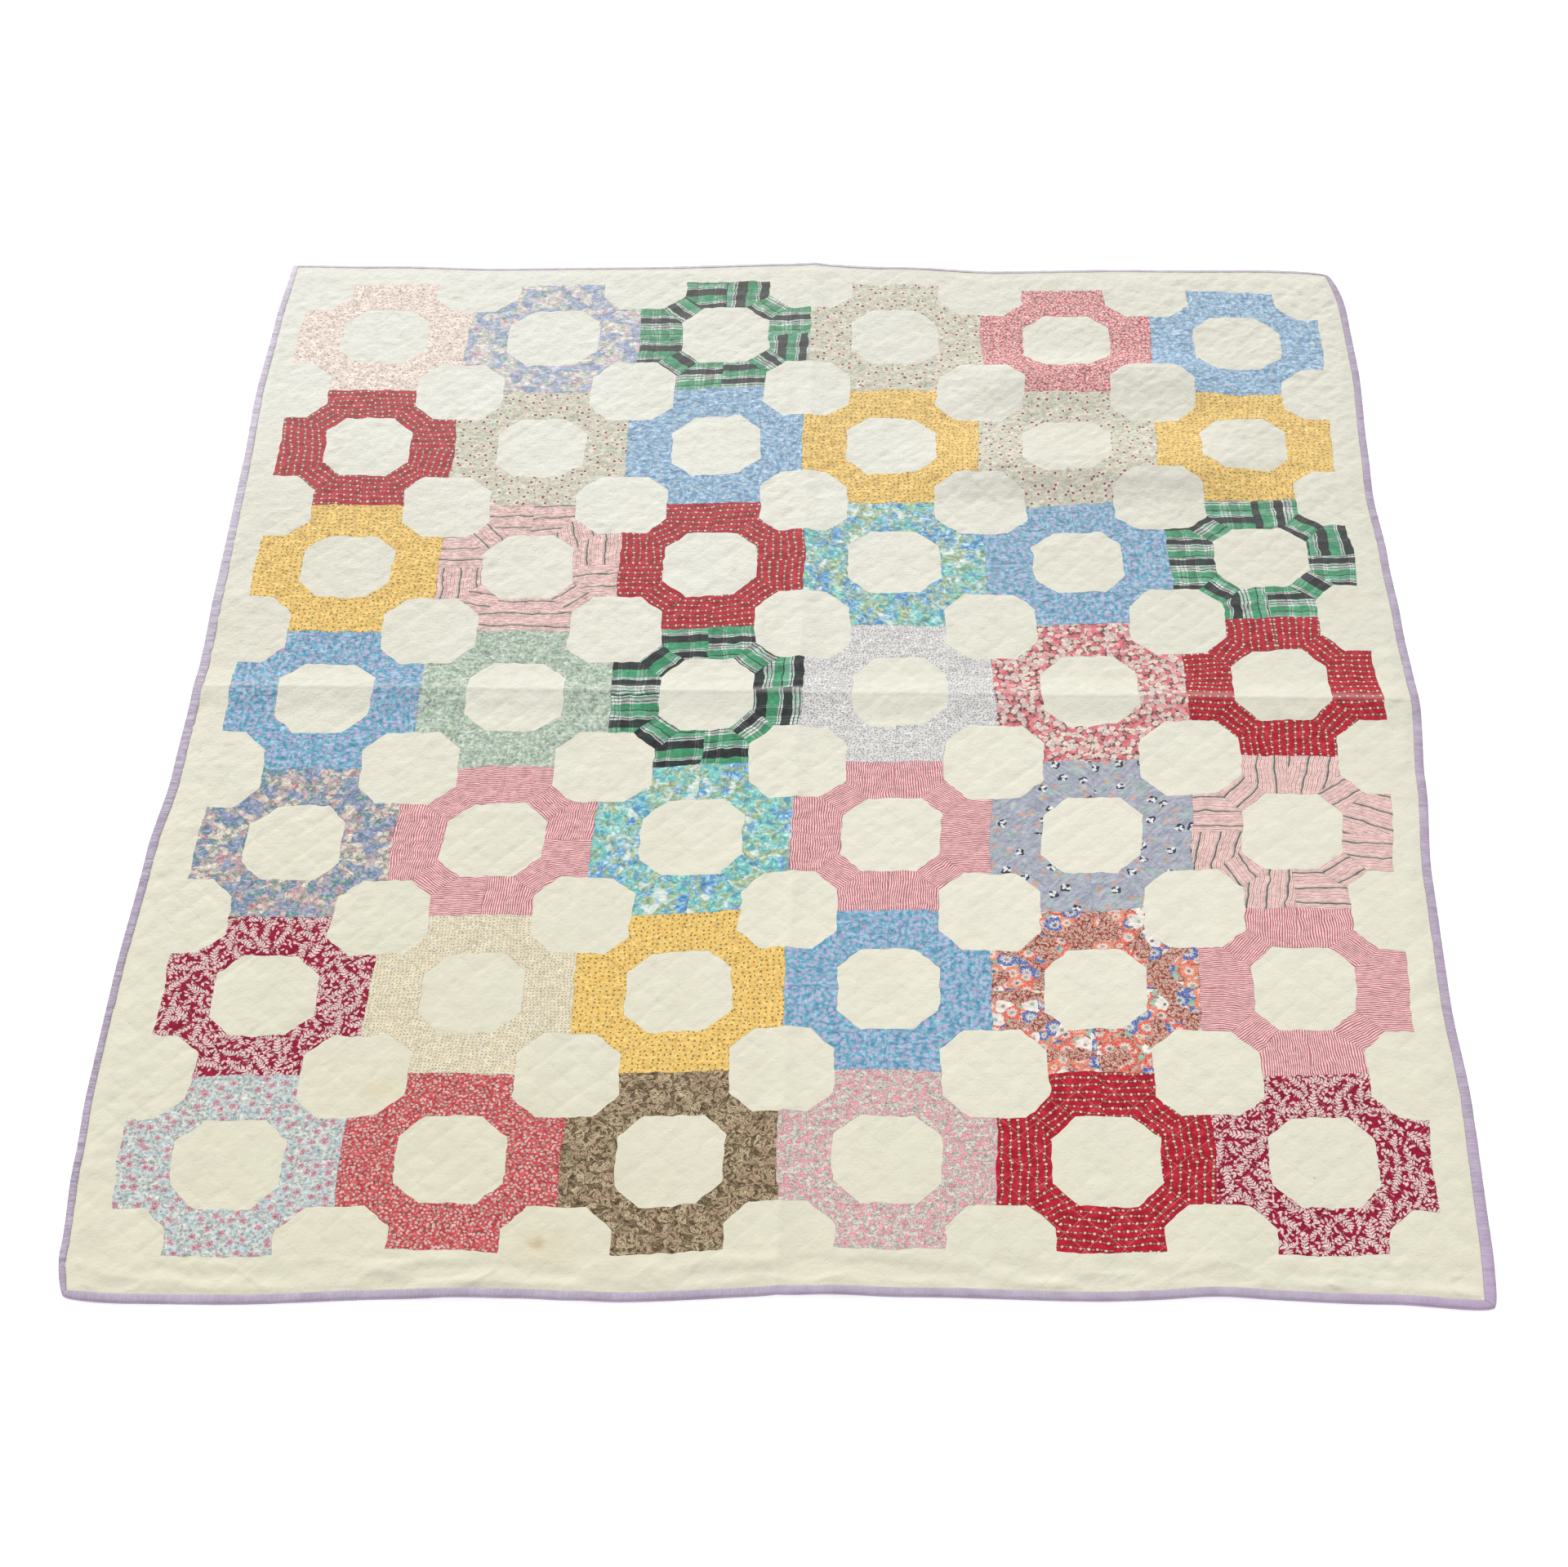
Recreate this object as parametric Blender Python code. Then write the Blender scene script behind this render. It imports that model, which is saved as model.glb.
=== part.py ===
"""A hand-quilted patchwork quilt spread out on a flat surface, with a folded binding round its edge.

The quilt lies in the XY plane with its long way along Y and its near side towards -Y. It is one
quilted cloth and four binding strips. Every point is first placed in flat cloth coordinates, across
and along from the near left corner, and then moved to where that bit of cloth really lies.
"""

import math
from collections import namedtuple

import bpy

# Driving dimensions, in metres.
FLAT_WIDTH = 1.940
FLAT_LENGTH = 2.260
CLOTH_THICKNESS = 0.005
RIM_THICKNESS = 0.003
BINDING_CLOTH = 0.001
BINDING_WIDTH = 0.016
UNDERSIDE_WIDTH = 0.014
ROLL_RADIUS = 0.001
PIECE_GAP = 0.0003

# How far each side lies outside the flat outline, at places along it measured from the middle.
# Columns: place, out. A row for each bulge or hollow of the side.
LEFT_SIDE = (
    (-1.130, -0.006),
    (-1.050, 0.004),
    (-0.900, 0.013),
    (-0.780, 0.018),
    (-0.580, 0.018),
    (-0.330, 0.012),
    (-0.160, 0.000),
    (0.090, -0.004),
    (0.330, -0.001),
    (0.580, 0.001),
    (0.760, 0.006),
    (0.960, 0.001),
    (1.130, -0.007),
)
RIGHT_SIDE = (
    (-1.130, -0.002),
    (-1.020, 0.002),
    (-0.780, 0.004),
    (-0.600, -0.004),
    (-0.360, -0.003),
    (-0.160, 0.009),
    (0.000, 0.018),
    (0.200, 0.010),
    (0.350, 0.004),
    (0.520, -0.005),
    (0.640, -0.002),
    (0.820, 0.003),
    (1.000, -0.001),
    (1.130, -0.009),
)
NEAR_SIDE = (
    (-0.970, 0.009),
    (-0.870, 0.013),
    (-0.750, 0.014),
    (-0.480, 0.004),
    (-0.350, 0.002),
    (-0.220, 0.008),
    (0.050, -0.004),
    (0.200, -0.002),
    (0.440, 0.004),
    (0.600, -0.002),
    (0.820, 0.007),
    (0.970, 0.017),
)
FAR_SIDE = (
    (-0.970, 0.017),
    (-0.800, 0.011),
    (-0.560, -0.001),
    (-0.290, -0.002),
    (-0.020, 0.003),
    (0.150, -0.011),
    (0.360, -0.029),
    (0.520, -0.028),
    (0.740, -0.033),
    (0.970, -0.038),
)

# How far each corner is drawn in, as a folded binding rounds it.
# Columns: side across, side along, pull.
CORNERS = (
    (-1, -1, 0.005),
    (1, -1, 0.003),
    (-1, 1, 0.001),
    (1, 1, 0.008),
)
CORNER_REACH = 0.026

# Where the cloth stands up off the surface. A fold runs from its start to its end. Its reach is how far
# it spreads to the right and to the left of that run, and it fades in and out over the last two lengths.
# A sharp one is a crease pressed in when the quilt was folded for storage.
Fold = namedtuple(
    "Fold", "name start_x start_y end_x end_y height right_reach left_reach fade_in fade_out sharp"
)
FOLDS = (
    Fold("far ripple", 0.20, 0.795, 0.78, 0.800, 0.015, 0.115, 0.075, 0.16, 0.14, False),
    Fold("main ripple", 0.12, 0.545, 0.84, 0.535, 0.020, 0.090, 0.135, 0.20, 0.16, False),
    Fold("cross crease", -1.05, 0.035, 1.05, -0.017, 0.008, 0.055, 0.050, 0.00, 0.00, True),
    Fold("length crease", 0.012, -1.20, 0.012, 1.20, 0.003, 0.035, 0.035, 0.00, 0.00, True),
    Fold("quarter crease", -0.245, -1.20, -0.230, -0.80, 0.0025, 0.045, 0.045, 0.00, 0.15, False),
    Fold("near wave left", -0.420, -1.20, -0.440, -0.93, 0.004, 0.080, 0.080, 0.00, 0.20, False),
    Fold("near wave middle", 0.080, -1.20, 0.110, -0.98, 0.004, 0.090, 0.090, 0.00, 0.18, False),
    Fold("near wave right", 0.600, -1.20, 0.600, -0.95, 0.004, 0.080, 0.080, 0.00, 0.20, False),
    Fold("right side wave", 1.05, 0.530, 0.80, 0.520, 0.004, 0.080, 0.080, 0.00, 0.20, False),
    Fold("left side wave", -1.05, 0.220, -0.80, 0.235, 0.004, 0.080, 0.080, 0.00, 0.20, False),
)

# Grid lines of the faceted cloth. Columns: from, to, step, measured from the middle of the cloth.
ACROSS_ZONES = (
    (-0.880, -0.036, 0.0703),
    (-0.036, 0.060, 0.0480),
    (0.126, 0.880, 0.0685),
)
ALONG_ZONES = (
    (-1.060, -0.068, 0.0827),
    (-0.068, 0.082, 0.0300),
    (0.157, 0.382, 0.0750),
    (0.382, 0.910, 0.0352),
    (0.985, 1.060, 0.0750),
)

QUILT_EDGE = BINDING_CLOTH + PIECE_GAP
RIM_END = BINDING_WIDTH + 0.001
SLOPE_END = 0.025

CREAM = (0.86, 0.84, 0.74, 1.0)
LAVENDER = (0.60, 0.54, 0.72, 1.0)


def clear_scene():
    for scene_object in list(bpy.data.objects):
        bpy.data.objects.remove(scene_object)


def smooth(amount):
    """Goes from 0 to 1 with a level start and end."""
    amount = min(max(amount, 0.0), 1.0)
    return amount * amount * (3.0 - 2.0 * amount)


def side_out(side, place):
    """The side's distance outside the flat outline at one place along it."""
    if place <= side[0][0]:
        return side[0][1]
    for (start, out_start), (end, out_end) in zip(side, side[1:]):
        if place <= end:
            return out_start + (out_end - out_start) * smooth((place - start) / (end - start))
    return side[-1][1]


def fold_lift(fold, x, y):
    """The height that one fold gives the cloth at a point of the plan."""
    length = math.hypot(fold.end_x - fold.start_x, fold.end_y - fold.start_y)
    run_x = (fold.end_x - fold.start_x) / length
    run_y = (fold.end_y - fold.start_y) / length
    along = (x - fold.start_x) * run_x + (y - fold.start_y) * run_y
    if along < 0.0 or along > length:
        return 0.0
    off = (y - fold.start_y) * run_x - (x - fold.start_x) * run_y
    reach = fold.left_reach if off > 0.0 else fold.right_reach
    near = 1.0 - abs(off) / reach
    if near <= 0.0:
        return 0.0
    profile = near * near if fold.sharp else smooth(near)
    if fold.fade_in > 0.0:
        profile *= smooth(along / fold.fade_in)
    if fold.fade_out > 0.0:
        profile *= smooth((length - along) / fold.fade_out)
    return fold.height * profile


def lift(x, y):
    """The height of the cloth's underside above the surface."""
    return sum(fold_lift(fold, x, y) for fold in FOLDS)


def lay(across, along, height):
    """Places a point of the flat cloth, at a height in its thickness, where it really lies."""
    flat_x = across - FLAT_WIDTH / 2
    flat_y = along - FLAT_LENGTH / 2
    share_x = across / FLAT_WIDTH
    share_y = along / FLAT_LENGTH
    x = flat_x - (1 - share_x) * side_out(LEFT_SIDE, flat_y) + share_x * side_out(RIGHT_SIDE, flat_y)
    y = flat_y - (1 - share_y) * side_out(NEAR_SIDE, flat_x) + share_y * side_out(FAR_SIDE, flat_x)
    for side_x, side_y, pull in CORNERS:
        from_corner = (FLAT_WIDTH / 2 - side_x * flat_x) + (FLAT_LENGTH / 2 - side_y * flat_y)
        drawn_in = pull * math.exp(-from_corner / CORNER_REACH)
        x -= side_x * drawn_in
        y -= side_y * drawn_in
    return (x, y, lift(x, y) + height)


def stations(size, zones):
    """Grid lines across one size of the cloth: the rim's own lines, and each zone's even lines."""
    rim = (QUILT_EDGE, RIM_END, SLOPE_END)
    lines = list(rim)
    for start, end, step in zones:
        count = round((end - start) / step)
        lines += [size / 2 + start + (end - start) * line / count for line in range(count + 1)]
    lines += [size - inset for inset in reversed(rim)]
    return sorted(set(round(line, 6) for line in lines))


def make_material(name, colour, roughness):
    material = bpy.data.materials.new(name)
    material.use_nodes = True
    shader = material.node_tree.nodes["Principled BSDF"]
    shader.inputs["Base Color"].default_value = colour
    shader.inputs["Roughness"].default_value = roughness
    shader.inputs["Metallic"].default_value = 0.0
    return material


def make_object(name, points, faces, material):
    mesh = bpy.data.meshes.new(name)
    mesh.from_pydata(points, [], faces)
    mesh.update()
    mesh.materials.append(material)
    mesh.shade_smooth()
    mesh.set_sharp_from_angle(angle=math.radians(40))
    piece = bpy.data.objects.new(name, mesh)
    bpy.context.scene.collection.objects.link(piece)
    return piece


def two_triangles(a, b, c, d):
    """Splits the quad a, b, c, d along its diagonal from a to c."""
    return [(a, b, c), (a, c, d)]


def cloth_levels(across, along):
    """The bottom and top of the quilted cloth in its thickness: thinner at the rim."""
    inset = min(across, FLAT_WIDTH - across, along, FLAT_LENGTH - along)
    if inset <= RIM_END + PIECE_GAP:
        return QUILT_EDGE, QUILT_EDGE + RIM_THICKNESS
    return 0.0, CLOTH_THICKNESS


def make_quilted_cloth(across_lines, along_lines, material):
    """The quilted cloth: the same net of triangles on top and underneath, joined round the rim."""
    columns = len(across_lines)
    rows = len(along_lines)
    bottom = []
    top = []
    for along in along_lines:
        for across in across_lines:
            low, high = cloth_levels(across, along)
            bottom.append(lay(across, along, low))
            top.append(lay(across, along, high))
    shift = len(bottom)
    faces = []
    for row in range(rows - 1):
        for column in range(columns - 1):
            a = row * columns + column
            b, c, d = a + 1, a + columns + 1, a + columns
            faces += [tuple(reversed(face)) for face in two_triangles(a, b, c, d)]
            faces += two_triangles(a + shift, b + shift, c + shift, d + shift)
    near = list(range(columns))
    right = [row * columns + columns - 1 for row in range(1, rows)]
    far = [(rows - 1) * columns + column for column in range(columns - 2, -1, -1)]
    left = [row * columns for row in range(rows - 2, 0, -1)]
    rim = near + right + far + left
    for here, following in zip(rim, rim[1:] + rim[:1]):
        faces += two_triangles(here, following, following + shift, here + shift)
    return make_object("quilt_body", bottom + top, faces, material)


def binding_section():
    """The binding's folded section, as inset from the outer edge and height, in order round it."""
    inner_low = BINDING_CLOTH
    inner_high = QUILT_EDGE + RIM_THICKNESS + PIECE_GAP
    outer_high = inner_high + BINDING_CLOTH
    return (
        (UNDERSIDE_WIDTH, 0.0),
        (UNDERSIDE_WIDTH, inner_low),
        (BINDING_CLOTH, inner_low),
        (BINDING_CLOTH, inner_high),
        (BINDING_WIDTH, inner_high),
        (BINDING_WIDTH, outer_high),
        (ROLL_RADIUS, outer_high),
        (0.0, outer_high - ROLL_RADIUS),
        (0.0, ROLL_RADIUS),
        (ROLL_RADIUS, 0.0),
    )


def make_binding(name, lines, size, place, turned_out, material):
    """A strip of binding along one side, cut to a mitre at both ends.

    The faces are reversed on the sides where the section would otherwise turn them inwards.
    """
    section = binding_section()
    corners = len(section)
    mitre_gap = PIECE_GAP / 2
    inner_lines = [line for line in lines if RIM_END <= line <= size - RIM_END]
    points = []
    for station in [None] + inner_lines + [None]:
        for inset, height in section:
            if station is not None:
                run = station
            elif len(points) < corners:
                run = inset + mitre_gap
            else:
                run = size - inset - mitre_gap
            points.append(place(run, inset, height))
    faces = []
    for ring in range(len(points) // corners - 1):
        for corner in range(corners):
            following = (corner + 1) % corners
            a = ring * corners + corner
            b = ring * corners + following
            faces += two_triangles(a, b, b + corners, a + corners)
    faces.append(tuple(reversed(range(corners))))
    faces.append(tuple(range(len(points) - corners, len(points))))
    if not turned_out:
        faces = [tuple(reversed(face)) for face in faces]
    return make_object(name, points, faces, material)


def near_point(run, inset, height):
    return lay(run, inset, height)


def far_point(run, inset, height):
    return lay(run, FLAT_LENGTH - inset, height)


def left_point(run, inset, height):
    return lay(inset, run, height)


def right_point(run, inset, height):
    return lay(FLAT_WIDTH - inset, run, height)


def make_bindings(across_lines, along_lines, material):
    """The four strips: each side's own function lays a run along it and an inset from its edge."""
    make_binding("binding_near", across_lines, FLAT_WIDTH, near_point, True, material)
    make_binding("binding_far", across_lines, FLAT_WIDTH, far_point, False, material)
    make_binding("binding_left", along_lines, FLAT_LENGTH, left_point, False, material)
    make_binding("binding_right", along_lines, FLAT_LENGTH, right_point, True, material)


def main():
    clear_scene()
    across_lines = stations(FLAT_WIDTH, ACROSS_ZONES)
    along_lines = stations(FLAT_LENGTH, ALONG_ZONES)
    cotton = make_material("quilted_cotton", CREAM, 0.9)
    lavender = make_material("lavender_cotton", LAVENDER, 0.85)
    make_quilted_cloth(across_lines, along_lines, cotton)
    make_bindings(across_lines, along_lines, lavender)


main()
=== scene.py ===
"""A hand-quilted patchwork quilt spread out flat: print rings of bow-tie blocks on cream cotton.

Every part of the cloth is first placed in flat cloth coordinates, measured from the middle of the
quilt, and then laid where that bit of cloth really lies, with the same bulges and folds as the frame.
"""

import math
from collections import namedtuple

import bpy
import numpy as np
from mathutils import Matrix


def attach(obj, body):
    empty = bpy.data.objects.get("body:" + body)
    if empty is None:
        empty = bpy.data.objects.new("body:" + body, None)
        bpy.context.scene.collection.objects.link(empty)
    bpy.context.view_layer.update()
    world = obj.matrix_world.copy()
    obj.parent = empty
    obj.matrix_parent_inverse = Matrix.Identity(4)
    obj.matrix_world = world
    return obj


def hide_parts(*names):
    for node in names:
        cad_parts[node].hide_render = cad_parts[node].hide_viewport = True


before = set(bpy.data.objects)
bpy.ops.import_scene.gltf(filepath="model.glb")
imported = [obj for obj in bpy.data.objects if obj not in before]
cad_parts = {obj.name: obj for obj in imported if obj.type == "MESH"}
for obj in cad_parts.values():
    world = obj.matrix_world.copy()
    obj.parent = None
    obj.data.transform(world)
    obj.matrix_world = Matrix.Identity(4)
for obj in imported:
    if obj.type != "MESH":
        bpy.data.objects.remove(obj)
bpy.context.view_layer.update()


# ---- The wadding and backing ----------------------------------------------------------------------
# A thin cotton wadding on a plain cream backing, 1.94 by 2.26 m. It carries the pieced top and is
# quilted to it, and its sides and ripples are the ones that the whole quilt has.

FLAT_WIDTH = 1.940
FLAT_LENGTH = 2.260

# How far each side lies outside the flat outline. Columns: place along the side, out.
LEFT_SIDE = (
    (-1.130, -0.006),
    (-1.050, 0.004),
    (-0.900, 0.013),
    (-0.780, 0.018),
    (-0.580, 0.018),
    (-0.330, 0.012),
    (-0.160, 0.000),
    (0.090, -0.004),
    (0.330, -0.001),
    (0.580, 0.001),
    (0.760, 0.006),
    (0.960, 0.001),
    (1.130, -0.007),
)
RIGHT_SIDE = (
    (-1.130, -0.002),
    (-1.020, 0.002),
    (-0.780, 0.004),
    (-0.600, -0.004),
    (-0.360, -0.003),
    (-0.160, 0.009),
    (0.000, 0.018),
    (0.200, 0.010),
    (0.350, 0.004),
    (0.520, -0.005),
    (0.640, -0.002),
    (0.820, 0.003),
    (1.000, -0.001),
    (1.130, -0.009),
)
NEAR_SIDE = (
    (-0.970, 0.009),
    (-0.870, 0.013),
    (-0.750, 0.014),
    (-0.480, 0.004),
    (-0.350, 0.002),
    (-0.220, 0.008),
    (0.050, -0.004),
    (0.200, -0.002),
    (0.440, 0.004),
    (0.600, -0.002),
    (0.820, 0.007),
    (0.970, 0.017),
)
FAR_SIDE = (
    (-0.970, 0.017),
    (-0.800, 0.011),
    (-0.560, -0.001),
    (-0.290, -0.002),
    (-0.020, 0.003),
    (0.150, -0.011),
    (0.360, -0.029),
    (0.520, -0.028),
    (0.740, -0.033),
    (0.970, -0.038),
)

# How far each corner is drawn in, and how far along the sides that reaches.
Corner = namedtuple("Corner", "across along pull reach")
CORNERS = (
    Corner(-1, -1, 0.0080, 0.019),
    Corner(1, -1, 0.0050, 0.013),
    Corner(-1, 1, 0.0015, 0.020),
    Corner(1, 1, 0.0170, 0.042),
)

# Where the cloth stands up off the surface. A sharp one is a crease pressed in by storage.
Fold = namedtuple(
    "Fold", "name start_x start_y end_x end_y height right_reach left_reach fade_in fade_out sharp"
)
FOLDS = (
    Fold("far ripple", 0.20, 0.795, 0.78, 0.800, 0.013, 0.115, 0.075, 0.16, 0.14, False),
    Fold("main ripple", 0.12, 0.545, 0.84, 0.535, 0.0175, 0.090, 0.135, 0.20, 0.16, False),
    Fold("cross crease", -1.05, 0.035, 1.05, -0.017, 0.0055, 0.058, 0.052, 0.00, 0.00, False),
    Fold("length crease", 0.012, -1.20, 0.012, 1.20, 0.003, 0.035, 0.035, 0.00, 0.00, True),
    Fold("quarter crease", -0.245, -1.20, -0.230, -0.80, 0.0025, 0.045, 0.045, 0.00, 0.15, False),
    Fold("near wave left", -0.420, -1.20, -0.440, -0.93, 0.004, 0.080, 0.080, 0.00, 0.20, False),
    Fold("near wave middle", 0.080, -1.20, 0.110, -0.98, 0.004, 0.090, 0.090, 0.00, 0.18, False),
    Fold("near wave right", 0.600, -1.20, 0.600, -0.95, 0.004, 0.080, 0.080, 0.00, 0.20, False),
    Fold("right side wave", 1.05, 0.530, 0.80, 0.520, 0.004, 0.080, 0.080, 0.00, 0.20, False),
    Fold("left side wave", -1.05, 0.220, -0.80, 0.235, 0.004, 0.080, 0.080, 0.00, 0.20, False),
)


def smooth(amount):
    """Goes from 0 to 1 with a level start and end."""
    amount = np.clip(amount, 0.0, 1.0)
    return amount * amount * (3.0 - 2.0 * amount)


def side_out(side, place):
    """The side's distance outside the flat outline at places along it."""
    places, outs = np.array(side).T
    step = np.clip(np.searchsorted(places, place) - 1, 0, len(places) - 2)
    share = smooth((place - places[step]) / (places[step + 1] - places[step]))
    return outs[step] + (outs[step + 1] - outs[step]) * share


def fold_lift(fold, x, y):
    """The height that one fold gives the cloth at points of the plan."""
    length = math.hypot(fold.end_x - fold.start_x, fold.end_y - fold.start_y)
    run_x = (fold.end_x - fold.start_x) / length
    run_y = (fold.end_y - fold.start_y) / length
    along = (x - fold.start_x) * run_x + (y - fold.start_y) * run_y
    off = (y - fold.start_y) * run_x - (x - fold.start_x) * run_y
    near = 1.0 - np.abs(off) / np.where(off > 0.0, fold.left_reach, fold.right_reach)
    near = np.where((along < 0.0) | (along > length), 0.0, np.clip(near, 0.0, 1.0))
    profile = near * near if fold.sharp else smooth(near)
    if fold.fade_in > 0.0:
        profile = profile * smooth(along / fold.fade_in)
    if fold.fade_out > 0.0:
        profile = profile * smooth((length - along) / fold.fade_out)
    return fold.height * profile


def lay(flat_x, flat_y, height):
    """Places points of the flat cloth, at a height in its thickness, where they really lie."""
    share_x = flat_x / FLAT_WIDTH + 0.5
    share_y = flat_y / FLAT_LENGTH + 0.5
    x = flat_x - (1 - share_x) * side_out(LEFT_SIDE, flat_y) + share_x * side_out(RIGHT_SIDE, flat_y)
    y = flat_y - (1 - share_y) * side_out(NEAR_SIDE, flat_x) + share_y * side_out(FAR_SIDE, flat_x)
    for corner in CORNERS:
        off = (FLAT_WIDTH / 2 - corner.across * flat_x) + (FLAT_LENGTH / 2 - corner.along * flat_y)
        drawn_in = corner.pull * np.exp(-off / corner.reach)
        x = x - corner.across * drawn_in
        y = y - corner.along * drawn_in
    z = height + sum(fold_lift(fold, x, y) for fold in FOLDS)
    return np.stack(np.broadcast_arrays(x, y, z), axis=-1)


def net_faces(columns, rows):
    """The quads of a net of points, row by row."""
    corner = (np.arange(rows - 1)[:, None] * columns + np.arange(columns - 1)).ravel()
    return np.stack([corner, corner + 1, corner + columns + 1, corner + columns], axis=-1)


def add_object(name, data):
    """An object in the scene, at the origin."""
    made = bpy.data.objects.new(name, data)
    bpy.context.scene.collection.objects.link(made)
    return made


def make_piece(name, points, faces, material):
    """A mesh object, smooth all over, with its points where they lie."""
    mesh = bpy.data.meshes.new(name)
    mesh.from_pydata(points.tolist(), [], [list(face) for face in faces])
    mesh.update()
    mesh.materials.append(material)
    mesh.shade_smooth()
    return add_object(name, mesh)


def tint(code):
    """A dye from its six-figure shade card code, as the shader wants it."""
    parts = [int(code[i : i + 2], 16) / 255 for i in (1, 3, 5)]
    return tuple(p / 12.92 if p <= 0.04045 else ((p + 0.055) / 1.055) ** 2.4 for p in parts) + (1.0,)


class Shade:
    """One value of a cloth's colouring. Sums on it add the maths nodes."""

    def __init__(self, bath, socket):
        self.bath = bath
        self.socket = socket

    def also(self, name):
        return Shade(self.bath, self.socket.node.outputs[name])

    def __add__(self, other):
        return self.bath.maths("ADD", self, other)

    def __sub__(self, other):
        return self.bath.maths("SUBTRACT", self, other)

    def __rsub__(self, other):
        return self.bath.maths("SUBTRACT", other, self)

    def __mul__(self, other):
        return self.bath.maths("MULTIPLY", self, other)

    def __truediv__(self, other):
        return self.bath.maths("DIVIDE", self, other)

    def __pow__(self, other):
        return self.bath.maths("POWER", self, other)

    def __abs__(self):
        return self.bath.maths("ABSOLUTE", self)

    def __gt__(self, other):
        return self.bath.maths("GREATER_THAN", self, other)

    def __lt__(self, other):
        return self.bath.maths("LESS_THAN", self, other)

    __radd__ = __add__
    __rmul__ = __mul__


Motif = namedtuple("Motif", "distance across along chance tone")
FULL_TURN = 6.283


class DyeBath:
    """The nodes that colour one cloth. Places and sizes in it are in millimetres."""

    def __init__(self, name):
        self.material = bpy.data.materials.new(name)
        self.material.use_nodes = True
        self.tree = self.material.node_tree
        self.cloth = self.tree.nodes["Principled BSDF"]
        self.colour = (1.0, 1.0, 1.0, 1.0)

    def feed(self, socket, value):
        if isinstance(value, Shade):
            self.tree.links.new(value.socket, socket)
        else:
            socket.default_value = value

    def node(self, kind, settings=None, output=0, **sockets):
        """Any node. A socket is given by name, or as at_N by its number."""
        made = self.tree.nodes.new(kind)
        for name, value in (settings or {}).items():
            setattr(made, name, value)
        for name, value in sockets.items():
            key = int(name[3:]) if name.startswith("at_") else name.replace("_", " ")
            self.feed(made.inputs[key], value)
        return Shade(self, made.outputs[output])

    def maths(self, operation, *values):
        sockets = {f"at_{place}": value for place, value in enumerate(values)}
        return self.node("ShaderNodeMath", {"operation": operation}, **sockets)

    def vectors(self, operation, first, second, output=0):
        return self.node("ShaderNodeVectorMath", {"operation": operation}, output, at_0=first, at_1=second)

    def shift(self, place, by):
        return self.vectors("ADD", place, by)

    def scale(self, place, by):
        return self.vectors("MULTIPLY", place, by)

    def parts(self, place):
        both = self.node("ShaderNodeSeparateXYZ", at_0=place)
        return both, both.also("Y")

    def lying(self):
        """Places on the whole quilt as it lies."""
        return self.scale(self.node("ShaderNodeTexCoord", output=3), (1000.0, 1000.0, 0.0))

    def printed(self):
        """Places on the cloth that the patches or the binding were cut from."""
        return self.scale(self.node("ShaderNodeUVMap", {"uv_map": "cut"}), (1000.0, 1000.0, 0.0))

    def off_whole(self, value):
        """How far a value is from the nearest whole number."""
        return abs(value - self.maths("ROUND", value))

    def under(self, value, limit, soft=0.5):
        """1 where the value is under the limit, 0 where it is over, with a soft edge."""
        sockets = {"at_0": value - limit, "at_1": -0.5 * soft, "at_2": 0.5 * soft, "at_3": 1.0, "at_4": 0.0}
        return self.node("ShaderNodeMapRange", {"interpolation_type": "SMOOTHSTEP"}, **sockets)

    def noise(self, place, detail, distortion=0.0, output=0):
        sockets = {"Vector": place, "Scale": 1.0, "Detail": detail, "Distortion": distortion}
        return self.node("ShaderNodeTexNoise", {"noise_dimensions": "2D"}, output, **sockets)

    def mottle(self, place, size, detail=2.0, move=0.0, long=1.0):
        """Cloudy variation from 0 to 1, in patches of that size, longer across by the last figure."""
        moved = self.shift(place, (move, move, 0.0))
        return self.noise(self.scale(moved, (1 / (size * long), 1 / size, 0.0)), detail)

    def wander(self, place, size, amount, move=5.0):
        """The place, moved a little one way and another."""
        moved = self.shift(place, (move, move, 0.0))
        noise = self.noise(self.scale(moved, (1 / size, 1 / size, 0.0)), 1.0, output=1)
        pushed = self.scale(self.shift(noise, (-0.5, -0.5, -0.5)), (2 * amount, 2 * amount, 0.0))
        return self.shift(place, pushed)

    def weave(self, place, spacing):
        """The threads of a plain weave, from -1 to 1."""
        thread_x, thread_y = self.parts(place)
        turns = 2 * math.pi / spacing
        return self.maths("SINE", thread_x * turns) * self.maths("SINE", thread_y * turns)

    def scatter(self, place, spacing, looseness=1.0, move=0.0):
        """The nearest of many loosely spaced motifs: how far off it is, which way, and its chances."""
        moved = self.scale(self.shift(place, (move, move, 0.0)), (1 / spacing, 1 / spacing, 0.0))
        sockets = {"Vector": moved, "Scale": 1.0, "Randomness": looseness}
        cell = self.node("ShaderNodeTexVoronoi", {"voronoi_dimensions": "2D"}, **sockets)
        way = self.vectors("SUBTRACT", moved, cell.also("Position"))
        across, along = self.parts(self.scale(way, (spacing, spacing, 0.0)))
        chance = self.node("ShaderNodeSeparateColor", at_0=cell.also("Color"))
        return Motif(cell * spacing, across, along, chance, chance.also("Green"))

    def turned(self, motif):
        """The way to a motif, in the motif's own directions: each is turned by its own chance."""
        turn = motif.chance * FULL_TURN
        run = self.maths("COSINE", turn)
        rise = self.maths("SINE", turn)
        return motif.across * run + motif.along * rise, motif.along * run - motif.across * rise

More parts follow.
